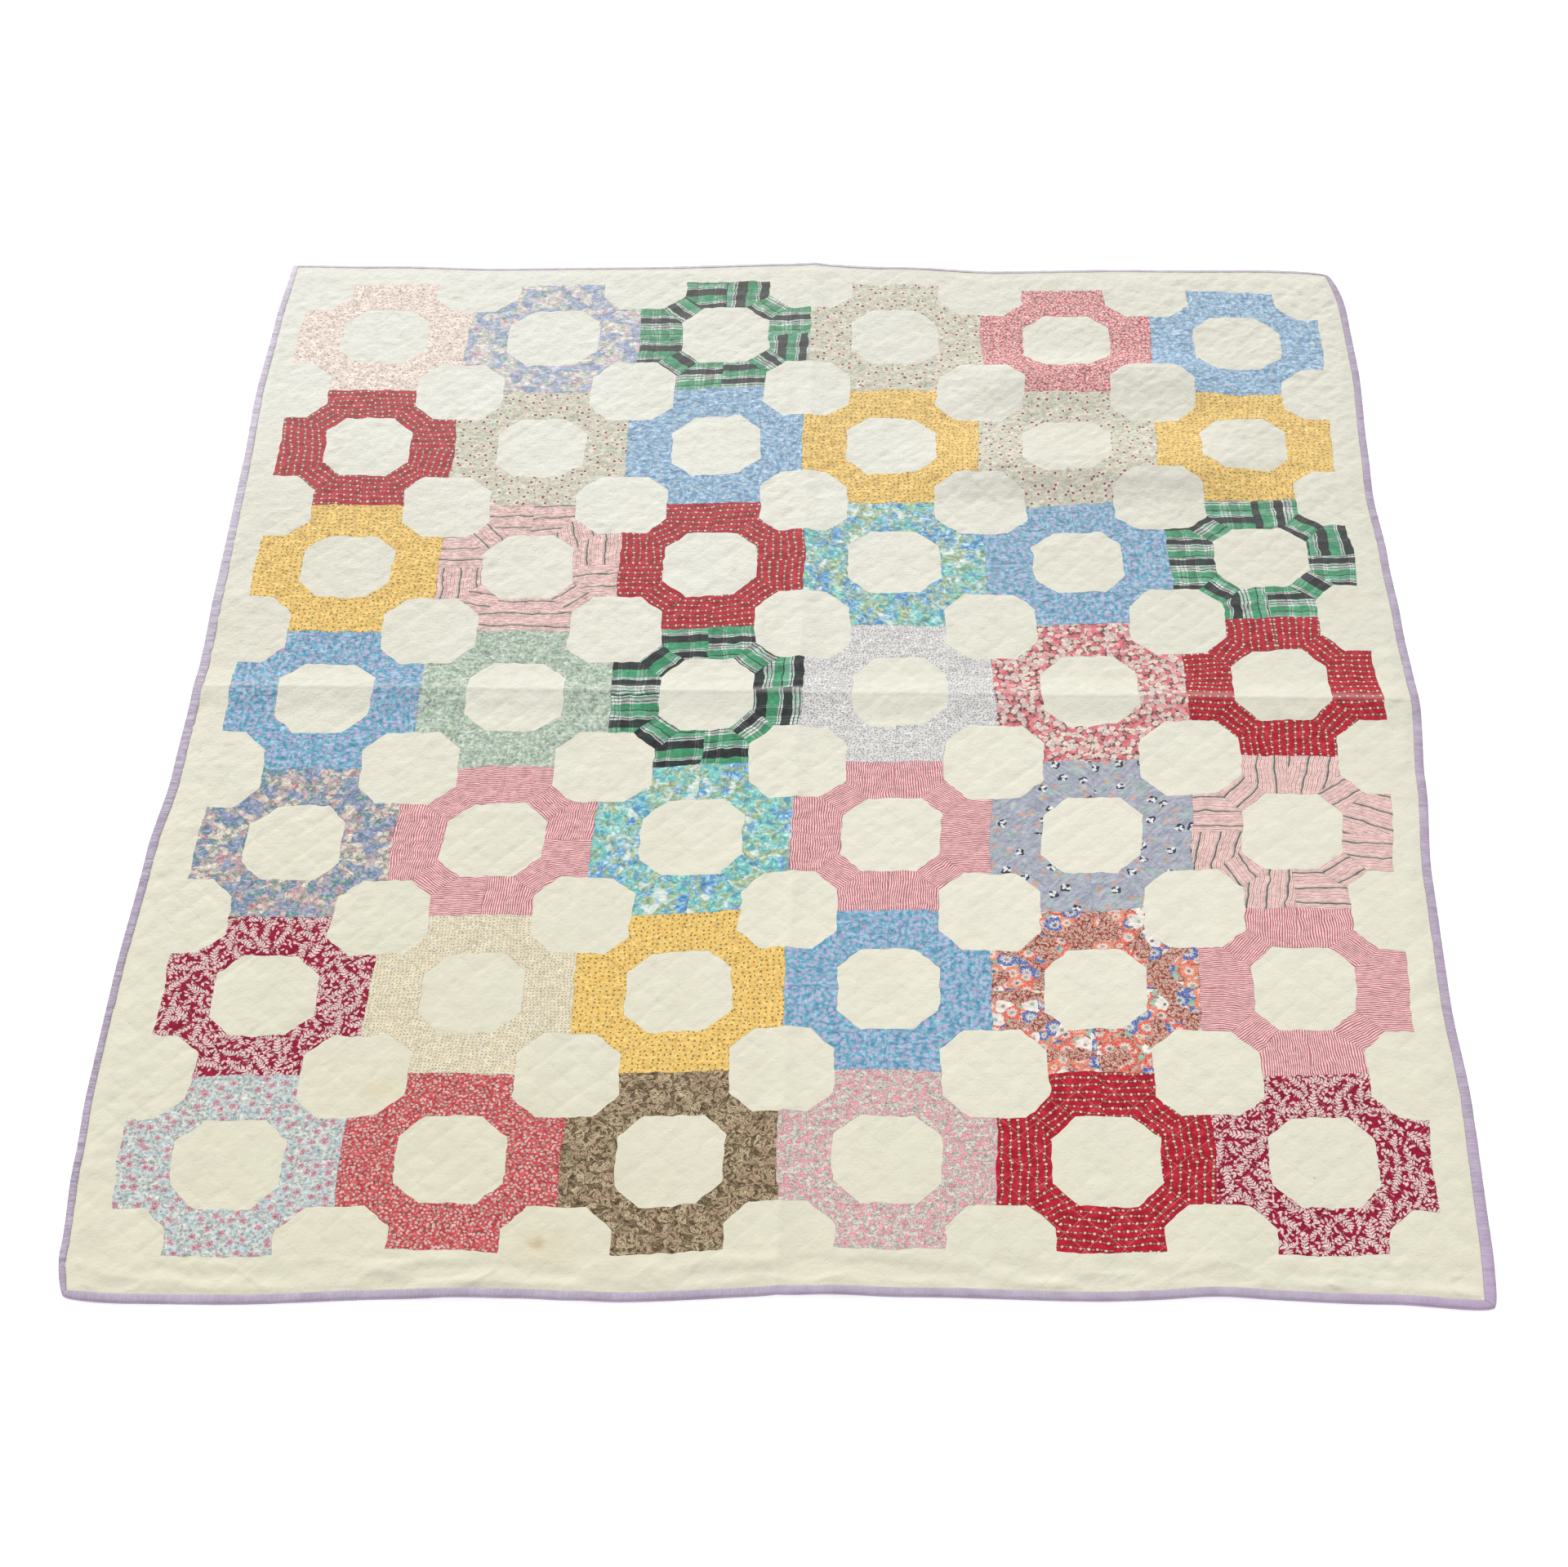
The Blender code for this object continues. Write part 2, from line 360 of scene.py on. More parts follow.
    def petals(self, motif, count, radius, depth=0.35, soft=0.5):
        """A flower with that many petals round each motif."""
        angle = self.maths("ARCTAN2", motif.along, motif.across) + motif.chance * FULL_TURN
        lobe = abs(self.maths("COSINE", angle * (count / 2)))
        return self.under(motif.distance / (lobe * depth + (1 - depth)), radius, soft)

    def mix(self, share, under, over):
        """The under colour where the share is 0, the over colour where it is 1."""
        sockets = {"at_0": share, "at_6": under, "at_7": over}
        return self.node("ShaderNodeMix", {"data_type": "RGBA"}, output=2, **sockets)

    def ramp(self, value, stops, blending="LINEAR"):
        """Dyes by a value. Each stop is a place from 0 to 1 and a dye's code."""
        shade = self.node("ShaderNodeValToRGB", Fac=value)
        blend = shade.socket.node.color_ramp
        blend.interpolation = blending
        for _ in stops[2:]:
            blend.elements.new(1.0)
        for stop, (place, code) in zip(blend.elements, stops):
            stop.position = place
            stop.color = tint(code)
        return shade

    def pick(self, value, *stops):
        """One of several dyes by a value, each from its stop to the next."""
        return self.ramp(value, stops, "CONSTANT")

    def ground(self, value, *stops):
        """The colour that a print starts from."""
        self.colour = self.ramp(value, stops)

    def lay(self, dye, share, motif=None):
        """Lays a dye over the colour so far: a code, a colour, or stops that each motif picks from."""
        if isinstance(dye, str):
            dye = tint(dye)
        elif isinstance(dye, tuple):
            dye = self.pick(motif.tone, *dye)
        self.colour = self.mix(share, self.colour, dye)

    def dots(self, motif, dye, radius, soft=0.5, share=1.0):
        self.lay(dye, self.under(motif.distance, radius, soft) * share, motif)

    def rings(self, motif, dye, radius, width, soft=0.5, share=1.0):
        self.lay(dye, self.under(abs(motif.distance - radius), width, soft) * share, motif)

    def dashes(self, motif, dye, thin, width, soft, share):
        """Strokes that lie every way. Thin is their width against their length."""
        along, across = self.turned(motif)
        stroke = self.maths("MAXIMUM", abs(along) * thin, abs(across))
        self.lay(dye, self.under(stroke, width, soft) * share, motif)

    def flowers(self, motif, dye, petals, radius, depth, soft=0.5, share=1.0):
        self.lay(dye, self.petals(motif, petals, radius, depth, soft) * share, motif)

    def finished(self, roughness, specular=0.5, height=None, relief=0.001):
        """The material, from the colour so far and the heights of its finest relief."""
        looks = {"Base Color": self.colour, "Roughness": roughness, "Specular IOR Level": specular}
        if height is not None:
            looks["Normal"] = self.node("ShaderNodeBump", Height=height, Distance=relief)
        for name, value in looks.items():
            self.feed(self.cloth.inputs[name], value)
        return self.material


def backing_cloth():
    bath = DyeBath("backing_cotton")
    place = bath.lying()
    bath.ground(bath.mottle(place, 120.0), (0.3, "#e4dec8"), (0.7, "#efeada"))
    return bath.finished(0.92, height=bath.mottle(place, 9.0, 4.0), relief=0.0006)


BACKING_INSET = 0.0020
BACKING_CELL = 0.0200
WADDING_TOP = 0.0030
RIM_LIFT = 0.0013


def make_backing():
    columns = round(FLAT_WIDTH / BACKING_CELL) + 1
    rows = round(FLAT_LENGTH / BACKING_CELL) + 1
    half_x = FLAT_WIDTH / 2 - BACKING_INSET
    half_y = FLAT_LENGTH / 2 - BACKING_INSET
    flat_x, flat_y = np.meshgrid(np.linspace(-half_x, half_x, columns), np.linspace(-half_y, half_y, rows))
    inset = np.minimum(half_x - np.abs(flat_x), half_y - np.abs(flat_y))
    low = np.where(inset < 0.016, RIM_LIFT, 0.0002)
    bottom = lay(flat_x, flat_y, low).reshape(-1, 3)
    top = lay(flat_x, flat_y, WADDING_TOP).reshape(-1, 3)
    faces = net_faces(columns, rows)
    shift = len(bottom)
    net = np.arange(shift).reshape(rows, columns)
    rim = np.concatenate([net[0], net[1:, -1], net[-1, -2::-1], net[-2:0:-1, 0]])
    wall = np.stack([rim, np.roll(rim, -1), np.roll(rim, -1) + shift, rim + shift], axis=-1)
    every = np.concatenate([faces[:, ::-1], faces + shift, wall])
    return make_piece("quilt_backing", np.concatenate([bottom, top]), every, backing_cloth())


backing = make_backing()


# ---- The pieced top -------------------------------------------------------------------------------
# Each ring is four six-inch bow-tie blocks: two print squares and two cream squares to a block, with a
# print square set on point over the middle. The blocks are machine sewn, then the whole top is hand
# quilted in a diagonal crosshatch, so it puffs between the lines and puckers along them.

SQUARE = 0.07625
CELLS = 21
KNOT = 10 / 21
RING_COLUMNS = 6
RING_ROWS = 7
RINGS_LEFT = -0.9095
RINGS_NEAR = -1.0535
LEFT_STRIP, RIGHT_STRIP, NEAR_STRIP, FAR_STRIP = 16, 14, 21, 13
TOP_INSET = 0.0020
TOP_HEIGHT = 0.0052

QUILTING_PITCH = 0.0378
CHANNEL_DEPTH = 0.00032
CHANNEL_REACH = 0.0045
PUFF_HEIGHT = 0.00028
PUFF_REACH = 0.016
GATHER_HEIGHT = 0.00024
GATHER_REACH = 0.010
RIDGE_WIDTH = 0.26

# Random crinkles all over the top, in metres.
Crinkle = namedtuple("Crinkle", "height size_x size_y seed")
CRINKLES = (
    Crinkle(0.00030, 0.016, 0.009, 34),
    Crinkle(0.00016, 0.009, 0.018, 35),
    Crinkle(0.00040, 0.038, 0.027, 36),
)
# Sharp ridges between flatter parts.
RIDGES = (
    Crinkle(0.00042, 0.026, 0.016, 38),
    Crinkle(0.00034, 0.028, 0.022, 39),
)
# Ridges that run with the quilting lines. Their sizes are in quilting squares.
LINE_RIDGES = (
    Crinkle(0.00034, 0.45, 1.30, 46),
    Crinkle(0.00022, 1.10, 0.45, 47),
)

# The crest of the cross crease: how far it is up the quilt at the middle, and how much it falls to the
# right.
CREST_UP = 0.009
CREST_FALL = 0.0248

# How the ring rows have been pushed and stretched off the flat lattice, in millimetres, at the left, in
# the middle and at the right. A row for each ring row, from the near side.
Push = namedtuple(
    "Push", "across_left across_middle across_right along_left along_middle along_right"
)
PUSHES = (
    Push(4, 7, -10, -1, 0, 0),
    Push(19, 10, -4, -4, -1, 12),
    Push(11, 7, -2, -12, -2, 14),
    Push(1, 2, -7, -5, 0, 31),
    Push(1, 2, -6, -3, 3, 29),
    Push(0, 0, -9, -4, -5, 5),
    Push(-6, 3, -4, -7, -6, -21),
)


def rumple(x, y, size_x, size_y, seed):
    """Smooth random hills and hollows of about that size, mostly from -1 to 1."""
    grid_x = x / size_x
    grid_y = y / size_y
    cell_x = np.floor(grid_x).astype(int)
    cell_y = np.floor(grid_y).astype(int)
    part_x = grid_x - cell_x
    part_y = grid_y - cell_y
    cell_x -= cell_x.min()
    cell_y -= cell_y.min()
    heights = np.random.default_rng(seed).standard_normal((cell_y.max() + 4, cell_x.max() + 4))

    def weights(part):
        return (
            (1 - part) ** 3 / 6,
            (3 * part**3 - 6 * part**2 + 4) / 6,
            (-3 * part**3 + 3 * part**2 + 3 * part + 1) / 6,
            part**3 / 6,
        )

    total = 0.0
    for row, weight_y in enumerate(weights(part_y)):
        for column, weight_x in enumerate(weights(part_x)):
            total = total + weight_y * weight_x * heights[cell_y + row, cell_x + column]
    return 1.8 * total


def wobble(x, y, *waves):
    """Rumples of several sizes, one on another. Columns: how far they push, their size, their seed."""
    return sum(push * rumple(x, y, size, size, seed) for push, size, seed in waves)


def ridges(x, y, size_x, size_y, seed):
    """Sharp ridges from 0 to 1, along the lines where a rumple changes its sign."""
    return np.exp(-((rumple(x, y, size_x, size_y, seed) / RIDGE_WIDTH) ** 2))


def pushed_off(block_x, block_y, first, middle, last):
    """How far the lattice is pushed at points of it, from one part of the table."""
    middles = np.arange(RING_ROWS) * 4 + 2
    left, centre, right = (
        np.interp(block_y, middles, [getattr(push, name) for push in PUSHES])
        for name in (first, middle, last)
    )
    share = (block_x - 12) / 10
    return (centre + (right - left) / 2 * share + ((right + left) / 2 - centre) * share**2) / 1000


def top_lines(count, near_strip, far_strip, start, half):
    """Places of the net's lines on the lattice, in squares, and on the flat cloth, in metres."""
    blocks = np.arange(-near_strip, count * CELLS + far_strip + 1) / CELLS
    flat = start + blocks * SQUARE
    edge = half - TOP_INSET
    near = blocks < 0
    far = blocks > count
    flat[near] = start + blocks[near] * CELLS / near_strip * (start + edge)
    flat[far] = start + count * SQUARE + (blocks[far] - count) * CELLS / far_strip * (
        edge - start - count * SQUARE
    )
    return blocks, flat


lines_x, flat_lines_x = top_lines(RING_COLUMNS * 4, LEFT_STRIP, RIGHT_STRIP, RINGS_LEFT, FLAT_WIDTH / 2)
lines_y, flat_lines_y = top_lines(RING_ROWS * 4, NEAR_STRIP, FAR_STRIP, RINGS_NEAR, FLAT_LENGTH / 2)
block_x, block_y = np.meshgrid(lines_x, lines_y)
flat_x, flat_y = np.meshgrid(flat_lines_x, flat_lines_y)
inset_x = FLAT_WIDTH / 2 - np.abs(flat_x)
inset_y = FLAT_LENGTH / 2 - np.abs(flat_y)

# Hand cutting and sewing leave every seam a little off the straight.
wobble_x = wobble(block_x, block_y, (0.0021, 1.0, 11), (0.0007, 0.22, 12), (0.0008, 0.10, 15))
wobble_y = wobble(block_x, block_y, (0.0021, 1.0, 13), (0.0007, 0.22, 14), (0.0008, 0.10, 16))
held_x = smooth(inset_x / 0.055)
held_y = smooth(inset_y / 0.055)
push_x = pushed_off(block_x, block_y, "across_left", "across_middle", "across_right") + wobble_x
push_y = pushed_off(block_x, block_y, "along_left", "along_middle", "along_right") + wobble_y
cloth_x = flat_x + held_x * push_x
cloth_y = flat_y + held_y * push_y

# The quilting lines, marked on the finished top with a yard stick and sewn by eye.
line_wander = wobble(cloth_x, cloth_y, (0.07, 0.22, 21), (0.02, 0.04, 22))
line_cross = wobble(cloth_x, cloth_y, (0.07, 0.22, 23), (0.02, 0.04, 24))
falling = (cloth_x + cloth_y) / math.sqrt(2) / QUILTING_PITCH - 0.39 + line_wander
rising = (cloth_y - cloth_x) / math.sqrt(2) / QUILTING_PITCH + 0.50 + line_cross


def off_line(place):
    """How far a place is from the nearest whole number."""
    return np.abs(place - np.round(place))


def seam_distance(x, y):
    """How far points of the lattice are from the nearest seam, in metres."""
    straight = np.minimum(off_line(x), off_line(y))
    across = np.abs(2 * ((x / 2) % 1.0) - 1)
    along = np.abs(2 * ((y / 2) % 1.0) - 1)
    knot = (KNOT - across - along) / math.sqrt(2)
    outside = (x < 0) | (x > RING_COLUMNS * 4) | (y < 0) | (y > RING_ROWS * 4)
    near = np.where(knot > 0, knot, np.minimum(straight, -knot))
    return np.where(outside, 0.3, near) * SQUARE


def quilted_height():
    """The height of the top in the cloth's thickness: puffs, channels, puckers and seams."""
    from_falling = off_line(falling) * QUILTING_PITCH
    from_rising = off_line(rising) * QUILTING_PITCH
    nearest = np.minimum(from_falling, from_rising)
    channel = np.exp(-((from_falling / CHANNEL_REACH) ** 2)) + np.exp(-((from_rising / CHANNEL_REACH) ** 2))
    drawn_in = np.clip(0.8 + 0.6 * rumple(cloth_x, cloth_y, 0.06, 0.06, 37), 0.0, 1.6)
    uneven = 1.0 + 0.45 * rumple(cloth_x, cloth_y, 0.09, 0.09, 31)
    height = PUFF_HEIGHT * uneven * smooth(nearest / PUFF_REACH)
    height = height - CHANNEL_DEPTH * drawn_in * np.clip(channel, 0.0, 1.2)
    # Gathers run square to each quilting line, where the thread draws the cloth together.
    for from_line, size_x, size_y, seed in ((from_falling, 0.40, 0.13, 32), (from_rising, 0.13, 0.40, 33)):
        gathered = np.exp(-((from_line / GATHER_REACH) ** 2))
        height += GATHER_HEIGHT * gathered * rumple(falling, rising, size_x, size_y, seed)
    # The far left was washed more often, and is the more crinkled. The near right is puffed more evenly.
    washed = 0.50 + 0.60 * smooth((cloth_y - 0.35 * cloth_x + 0.6) / 1.4)
    height *= (1.15 - 0.45 * smooth((cloth_x - cloth_y) / 1.4)) / washed
    for rise, *sizes_and_seed in CRINKLES:
        height += rise * rumple(cloth_x, cloth_y, *sizes_and_seed)
    for rise, *sizes_and_seed in RIDGES:
        height += rise * ridges(cloth_x, cloth_y, *sizes_and_seed)
    for rise, *sizes_and_seed in LINE_RIDGES:
        height += rise * ridges(falling, rising, *sizes_and_seed)
    # A seam between two cream pieces hardly shows. One against a print does.
    inside_bar = (np.abs((block_x % 4) - 2) < 0.999) != (np.abs((block_y % 4) - 2) < 0.999)
    seam = seam_distance(block_x, block_y)
    height -= np.where(inside_bar, 0.00022, 0.00005) * np.exp(-((seam / 0.0026) ** 2))
    # The border and the far right were quilted least, so they are the most rumpled.
    height *= washed
    height *= 1.0 + 0.40 * smooth((cloth_x - 0.1) / 0.6) * smooth((cloth_y - 0.2) / 0.5)
    bordering = smooth(np.maximum(np.abs(block_x - 12) - 12, np.abs(block_y - 14) - 14) / 0.35)
    bordering *= 1.0 - 0.85 * smooth((cloth_y - 0.4) / 0.6)
    height += 0.00070 * bordering * rumple(cloth_x, cloth_y, 0.034, 0.015, 40)
    bordering = smooth(-block_y / 0.35)
    height += 0.00125 * bordering * rumple(cloth_x, cloth_y, 0.034, 0.014, 48)
    height += 0.00100 * bordering * ridges(cloth_x, cloth_y, 0.044, 0.018, 49)
    # The cross crease was pressed in by storage, so its crest is sharp.
    lying_x, lying_y, _ = np.moveaxis(lay(cloth_x, cloth_y, 0.0), -1, 0)
    beyond = lying_y - CREST_UP + CREST_FALL * lying_x
    height += 0.0017 * np.exp(-np.abs(beyond) / np.where(beyond > 0, 0.008, 0.013))
    # The rim is flat and thin, and is tucked under the fold of the binding.
    inset = np.minimum(inset_x, inset_y)
    flat_rim = smooth((inset - 0.010) / 0.016)
    height *= 0.10 + 0.90 * flat_rim
    tucked = 1 - smooth((inset - 0.001) / 0.006)
    return TOP_HEIGHT - 0.0012 * (1 - flat_rim) - 0.0009 * tucked + np.clip(height, -0.0019, 0.0040)


top_points = lay(cloth_x, cloth_y, quilted_height())
run_x = np.gradient(top_points, axis=1)
run_y = np.gradient(top_points, axis=0)
top_normals = np.cross(run_x, run_y)
top_normals /= np.linalg.norm(top_normals, axis=-1, keepdims=True)


def split_net():
    """Two triangles to a cell, cut along the diagonal that a knot's side would take."""
    columns = len(lines_x)
    rows = len(lines_y)
    a, b, c, d = net_faces(columns, rows).T
    middle_x = np.tile((lines_x[:-1] + lines_x[1:]) / 2, rows - 1)
    middle_y = np.repeat((lines_y[:-1] + lines_y[1:]) / 2, columns - 1)
    leaning = ((middle_x % 2) - 1) * ((middle_y % 2) - 1) > 0
    first = np.where(leaning, [a, b, d], [a, b, c])
    second = np.where(leaning, [b, c, d], [a, c, d])
    return np.concatenate([first, second], axis=1).T


# What each triangle belongs to: the ring that it is in, and the patch of that ring. Patches 0 to 11 go
# round a ring from the left half of its far bar; 12 is cream.
PATCHES = 12
top_triangles = split_net()
centre_x = block_x.ravel()[top_triangles].mean(axis=1)
centre_y = block_y.ravel()[top_triangles].mean(axis=1)
in_rings = (centre_x > 0) & (centre_x < RING_COLUMNS * 4) & (centre_y > 0) & (centre_y < RING_ROWS * 4)
ring_column = np.clip(centre_x // 4, 0, RING_COLUMNS - 1).astype(int)
ring_row = (RING_ROWS - 1 - np.clip(centre_y // 4, 0, RING_ROWS - 1)).astype(int)
ring_x = centre_x - 4 * ring_column - 2
ring_y = centre_y - 4 * (RING_ROWS - 1 - ring_row) - 2
in_knot = np.abs(np.abs(ring_x) - 1) + np.abs(np.abs(ring_y) - 1) < KNOT
knot_patch = np.select(
    [(ring_x > 0) & (ring_y > 0), (ring_x > 0) & (ring_y < 0), (ring_x < 0) & (ring_y < 0)], [2, 5, 8], 11
)
bar_patch = np.select(
    [
        (ring_y > 1) & (ring_x < 0),
        (ring_y > 1) & (ring_x >= 0),
        (ring_x > 1) & (ring_y >= 0),
        (ring_x > 1) & (ring_y < 0),
        (ring_y < -1) & (ring_x >= 0),
        (ring_y < -1) & (ring_x < 0),
        (ring_x < -1) & (ring_y < 0),
        (ring_x < -1) & (ring_y >= 0),
    ],
    [0, 1, 3, 4, 6, 7, 9, 10],
    12,
)
is_cream = (np.abs(ring_x) < 1) == (np.abs(ring_y) < 1)
patch = np.where(in_knot, knot_patch, np.where(is_cream, PATCHES, bar_patch))
patch = np.where(in_rings, patch, PATCHES)
PATCH_MIDDLES = np.array(
    [(-0.5, 1.5), (0.5, 1.5), (1, 1), (1.5, 0.5), (1.5, -0.5), (1, -1)]
    + [(0.5, -1.5), (-0.5, -1.5), (-1, -1), (-1.5, -0.5), (-1.5, 0.5), (-1, 1), (0, 0)]
)

# Which print each ring is cut from, a row for each ring row from the far side.
RING_CHART = (
    "pink_fleck meadow plaid rosebud rose_curl sky_fleck",
    "dot_row rosebud sky_fleck gold_fleck rosebud gold_fleck",
    "gold_fleck mixed_stripe dot_row dahlia lilac_dot plaid",
    "lilac_dot sage_leaf plaid grey_fleck posy dot_row",
    "deep_meadow ticking dahlia ticking pansy mixed_stripe",
    "sprig cream_fleck gold_fleck lilac_dot anemone ticking",
    "blossom berry paisley pink_posy dot_row sprig",
)
chart = np.array([row.split() for row in RING_CHART])
print_of = np.where(patch < PATCHES, chart[ring_row, ring_column], "cream")

# The way each patch of a striped or plaid ring was turned before it was sewn in, in degrees. Columns:
# the ring's row and column from the far left, then its patches in order round the ring.
Grain = namedtuple("Grain", "row column n_left n_right ne e_far e_near se s_right s_left sw w_near w_far nw")
GRAINS = (
    Grain(0, 2, 0, 90, -45, 0, 90, -45, 0, 0, -45, 0, 0, -45),
    Grain(2, 5, 0, 90, -45, 90, 0, -45, 0, 90, -45, 0, 0, 45),
    Grain(3, 2, 0, 0, -45, 90, 90, 45, 0, 0, -45, 0, 0, 45),
    Grain(4, 1, -3, 2, -45, 82, -3, 35, 88, -4, -42, 86, 88, 40),
    Grain(4, 3, 89, 92, -32, -5, 4, 43, 88, 91, -35, 89, 91, 38),
    Grain(5, 5, 88, 93, -40, 3, -3, 32, 91, 88, 36, -2, 3, 47),
    Grain(2, 1, -3, 4, 100, 90, 2, 40, 1, -2, -12, 90, 2, -52),
    Grain(4, 5, 88, 77, 36, -20, -3, 38, 0, 80, -62, 79, -2, 50),
    Grain(1, 0, 3, -2, -48, 2, 86, 40, 3, -6, -45, 92, 93, 42),
    Grain(2, 2, 0, 2, -40, 88, 92, 42, 3, -2, -44, 2, 93, 32),
    Grain(3, 5, 91, 88, -52, 0, 2, 50, 90, 92, -46, -2, 3, 52),
    Grain(6, 4, -2, 2, -50, 92, 88, 45, 2, -4, 30, 88, 92, 46),
)
patch_turn = np.random.default_rng(41).integers(0, 4, (RING_ROWS, RING_COLUMNS, PATCHES + 1)) * 90.0
patch_turn += np.random.default_rng(42).normal(0.0, 3.0, patch_turn.shape)
for grain in GRAINS:
    patch_turn[grain.row, grain.column, :PATCHES] = grain[2:]
patch_start = np.random.default_rng(43).uniform(0.2, 2.0, patch_turn.shape + (2,))

print_x = block_x * SQUARE + 0.00025 * rumple(block_x, block_y, 0.16, 0.10, 44)
print_y = block_y * SQUARE + 0.0003 * rumple(block_x, block_y, 0.16, 0.10, 45)


def cut_patches(name, wanted, material):
    """The patches of one cloth, sewn into the top: each has its own start and turn on the printed cloth."""
    triangles = top_triangles[wanted]
    used, corners = np.unique(triangles, return_inverse=True)
    corners = corners.reshape(-1, 3)
    row, column, part = ring_row[wanted], ring_column[wanted], patch[wanted]
    turn = np.radians(patch_turn[row, column, part])[:, None]
    middle = PATCH_MIDDLES[part] + np.stack([4 * column + 2, 4 * (RING_ROWS - 1 - row) + 2], axis=-1)
    away_x = print_x.ravel()[triangles] - middle[:, :1] * SQUARE
    away_y = print_y.ravel()[triangles] - middle[:, 1:] * SQUARE
    start = patch_start[row, column, part]
    cut_x = away_x * np.cos(turn) + away_y * np.sin(turn) + start[:, :1]
    cut_y = away_y * np.cos(turn) - away_x * np.sin(turn) + start[:, 1:]
    mesh = bpy.data.meshes.new(name)
    mesh.vertices.add(len(used))
    mesh.loops.add(3 * len(corners))
    mesh.polygons.add(len(corners))
    mesh.vertices.foreach_set("co", top_points.reshape(-1, 3)[used].astype(np.float32).ravel())
    mesh.loops.foreach_set("vertex_index", corners.astype(np.int32).ravel())
    mesh.polygons.foreach_set("loop_start", np.arange(0, 3 * len(corners), 3, dtype=np.int32))
    mesh.update(calc_edges=True)
    cut = mesh.uv_layers.new(name="cut")
    cut.data.foreach_set("uv", np.stack([cut_x, cut_y], axis=-1).astype(np.float32).ravel())
    pieced = np.full(block_x.shape, float(np.all(in_rings[wanted])))
    for layer, values in (("quilting", (falling, rising, pieced)), ("blocks", (block_x, block_y, pieced))):
        stored = np.stack([value.ravel()[used] for value in values], axis=-1)
        mesh.attributes.new(layer, "FLOAT_VECTOR", "POINT").data.foreach_set(
            "vector", stored.astype(np.float32).ravel()
        )
    mesh.materials.append(material)
    mesh.shade_smooth()
    mesh.normals_split_custom_set_from_vertices(top_normals.reshape(-1, 3)[used].tolist())
    piece = add_object(name, mesh)
    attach(piece, "root")
    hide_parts("quilt_body")


# The quilting stitches, in millimetres: half of one's width, and from one to the next along each way.
STITCH_HALF = 0.33
STITCH_STEPS = (3.1, 3.3)
STITCH_SHARE = 0.60
WEAVE_SPACING = 0.62


def finish_cloth(bath, place, thread="#efe6dc", seam_showing=1.0, showing=0.22, wear=0.95):
    """Adds what every patch has: seams, quilting stitches, wear, weave and crinkles, with painted shade,
    painted highlights and a painted far sheen.
    """
    blocks = bath.node("ShaderNodeAttribute", {"attribute_name": "blocks"}, output=1)
    blocks_x, blocks_y = bath.parts(blocks)
    pieced = bath.node("ShaderNodeSeparateXYZ", output=2, at_0=blocks)
    straight = bath.maths("MINIMUM", bath.off_whole(blocks_x), bath.off_whole(blocks_y))
    knot_x = abs(bath.maths("FRACT", blocks_x * 0.5) * 2 - 1)
    knot_y = abs(bath.maths("FRACT", blocks_y * 0.5) * 2 - 1)
    knot = (KNOT - (knot_x + knot_y)) * (1 / math.sqrt(2))
    outside = bath.maths("MAXIMUM", straight - 4 * (knot > 0), 0) + 4 * (knot > 0)
    from_seam = bath.maths("MINIMUM", abs(knot), outside) * (SQUARE * 1000)
    in_seam = bath.under(from_seam, 0.4, 1.0) * pieced * seam_showing

    runs = bath.parts(bath.node("ShaderNodeAttribute", {"attribute_name": "quilting"}, output=1))
    pitch = QUILTING_PITCH * 1000
    off_lines = [bath.off_whole(run) * pitch for run in runs]
    stitches = [
        bath.under(off, STITCH_HALF, 0.35) * (bath.maths("FRACT", run * (pitch / step)) < STITCH_SHARE)
        for off, run, step in zip(off_lines, reversed(runs), STITCH_STEPS)
    ]
    stitch = bath.maths("MAXIMUM", *stitches)
    channel = bath.under(bath.maths("MINIMUM", *off_lines), 1.6, 3.2)

    # The far left was washed more often, so it is the more crinkled. Painted shade darkens the crinkles'
    # hollows and sharp creases, and painted highlight lightens their tops, following the bump.
    lying = bath.lying()
    sideways, up = bath.parts(lying)
    crinkled = 1.0 - bath.under(up - sideways * 0.35, 150.0, 1500.0) * 0.5
    fine = bath.mottle(lying, 4.6, 2.0, 3.0, 1.6)
    broad = bath.mottle(lying, 11.0, 2.0, 9.0, 1.5)
    crease = bath.under(abs(bath.mottle(lying, 16.0, 1.5, 21.0, 1.7) - 0.5), 0.010, 0.045)
    worn = bath.mottle(lying, 60.0, 3.0) * 0.08 + 0.96
    # Painted shade darkens the seam ditches, as far as the seams show.
    shade = worn * (1 - in_seam * 0.22)
    shade = shade * (1 + (fine * 1.1 + broad * 0.9 - 1.0 - crease * 0.22) * crinkled * wear)
    bath.colour = bath.node("ShaderNodeVectorMath", {"operation": "SCALE"}, at_0=bath.colour, Scale=shade)
    # Painted shadow lies in a thin line just nearer than the crest of the cross crease.
    from_crest = up + sideways * CREST_FALL - CREST_UP * 1000
    bath.lay("#6f6a60", bath.under(abs(from_crest + 4.0), 3.0, 5.0) * 0.09)
    # Painted sheen whitens the far half, and a painted highlight lies along the far side of the crest.
    painted_far_sheen = (1.0 - bath.under(up, 350.0, 1300.0)) * 0.11
    bath.lay("#f1efe8", painted_far_sheen + bath.under(abs(from_crest - 5.0), 6.0, 11.0) * 0.18)
    bath.lay(thread, stitch * showing * bath.under(up, -100.0, 900.0))
    height = (fine * 0.70 + broad * 0.75 - crease * 0.42) * crinkled
    height = height + bath.weave(place, WEAVE_SPACING) * 0.03 - channel * 0.04
    height = height + stitch * 0.18 - in_seam * 0.25
    return bath.finished(bath.mottle(place, 2.0) * 0.10 + 0.62, 0.12, height)


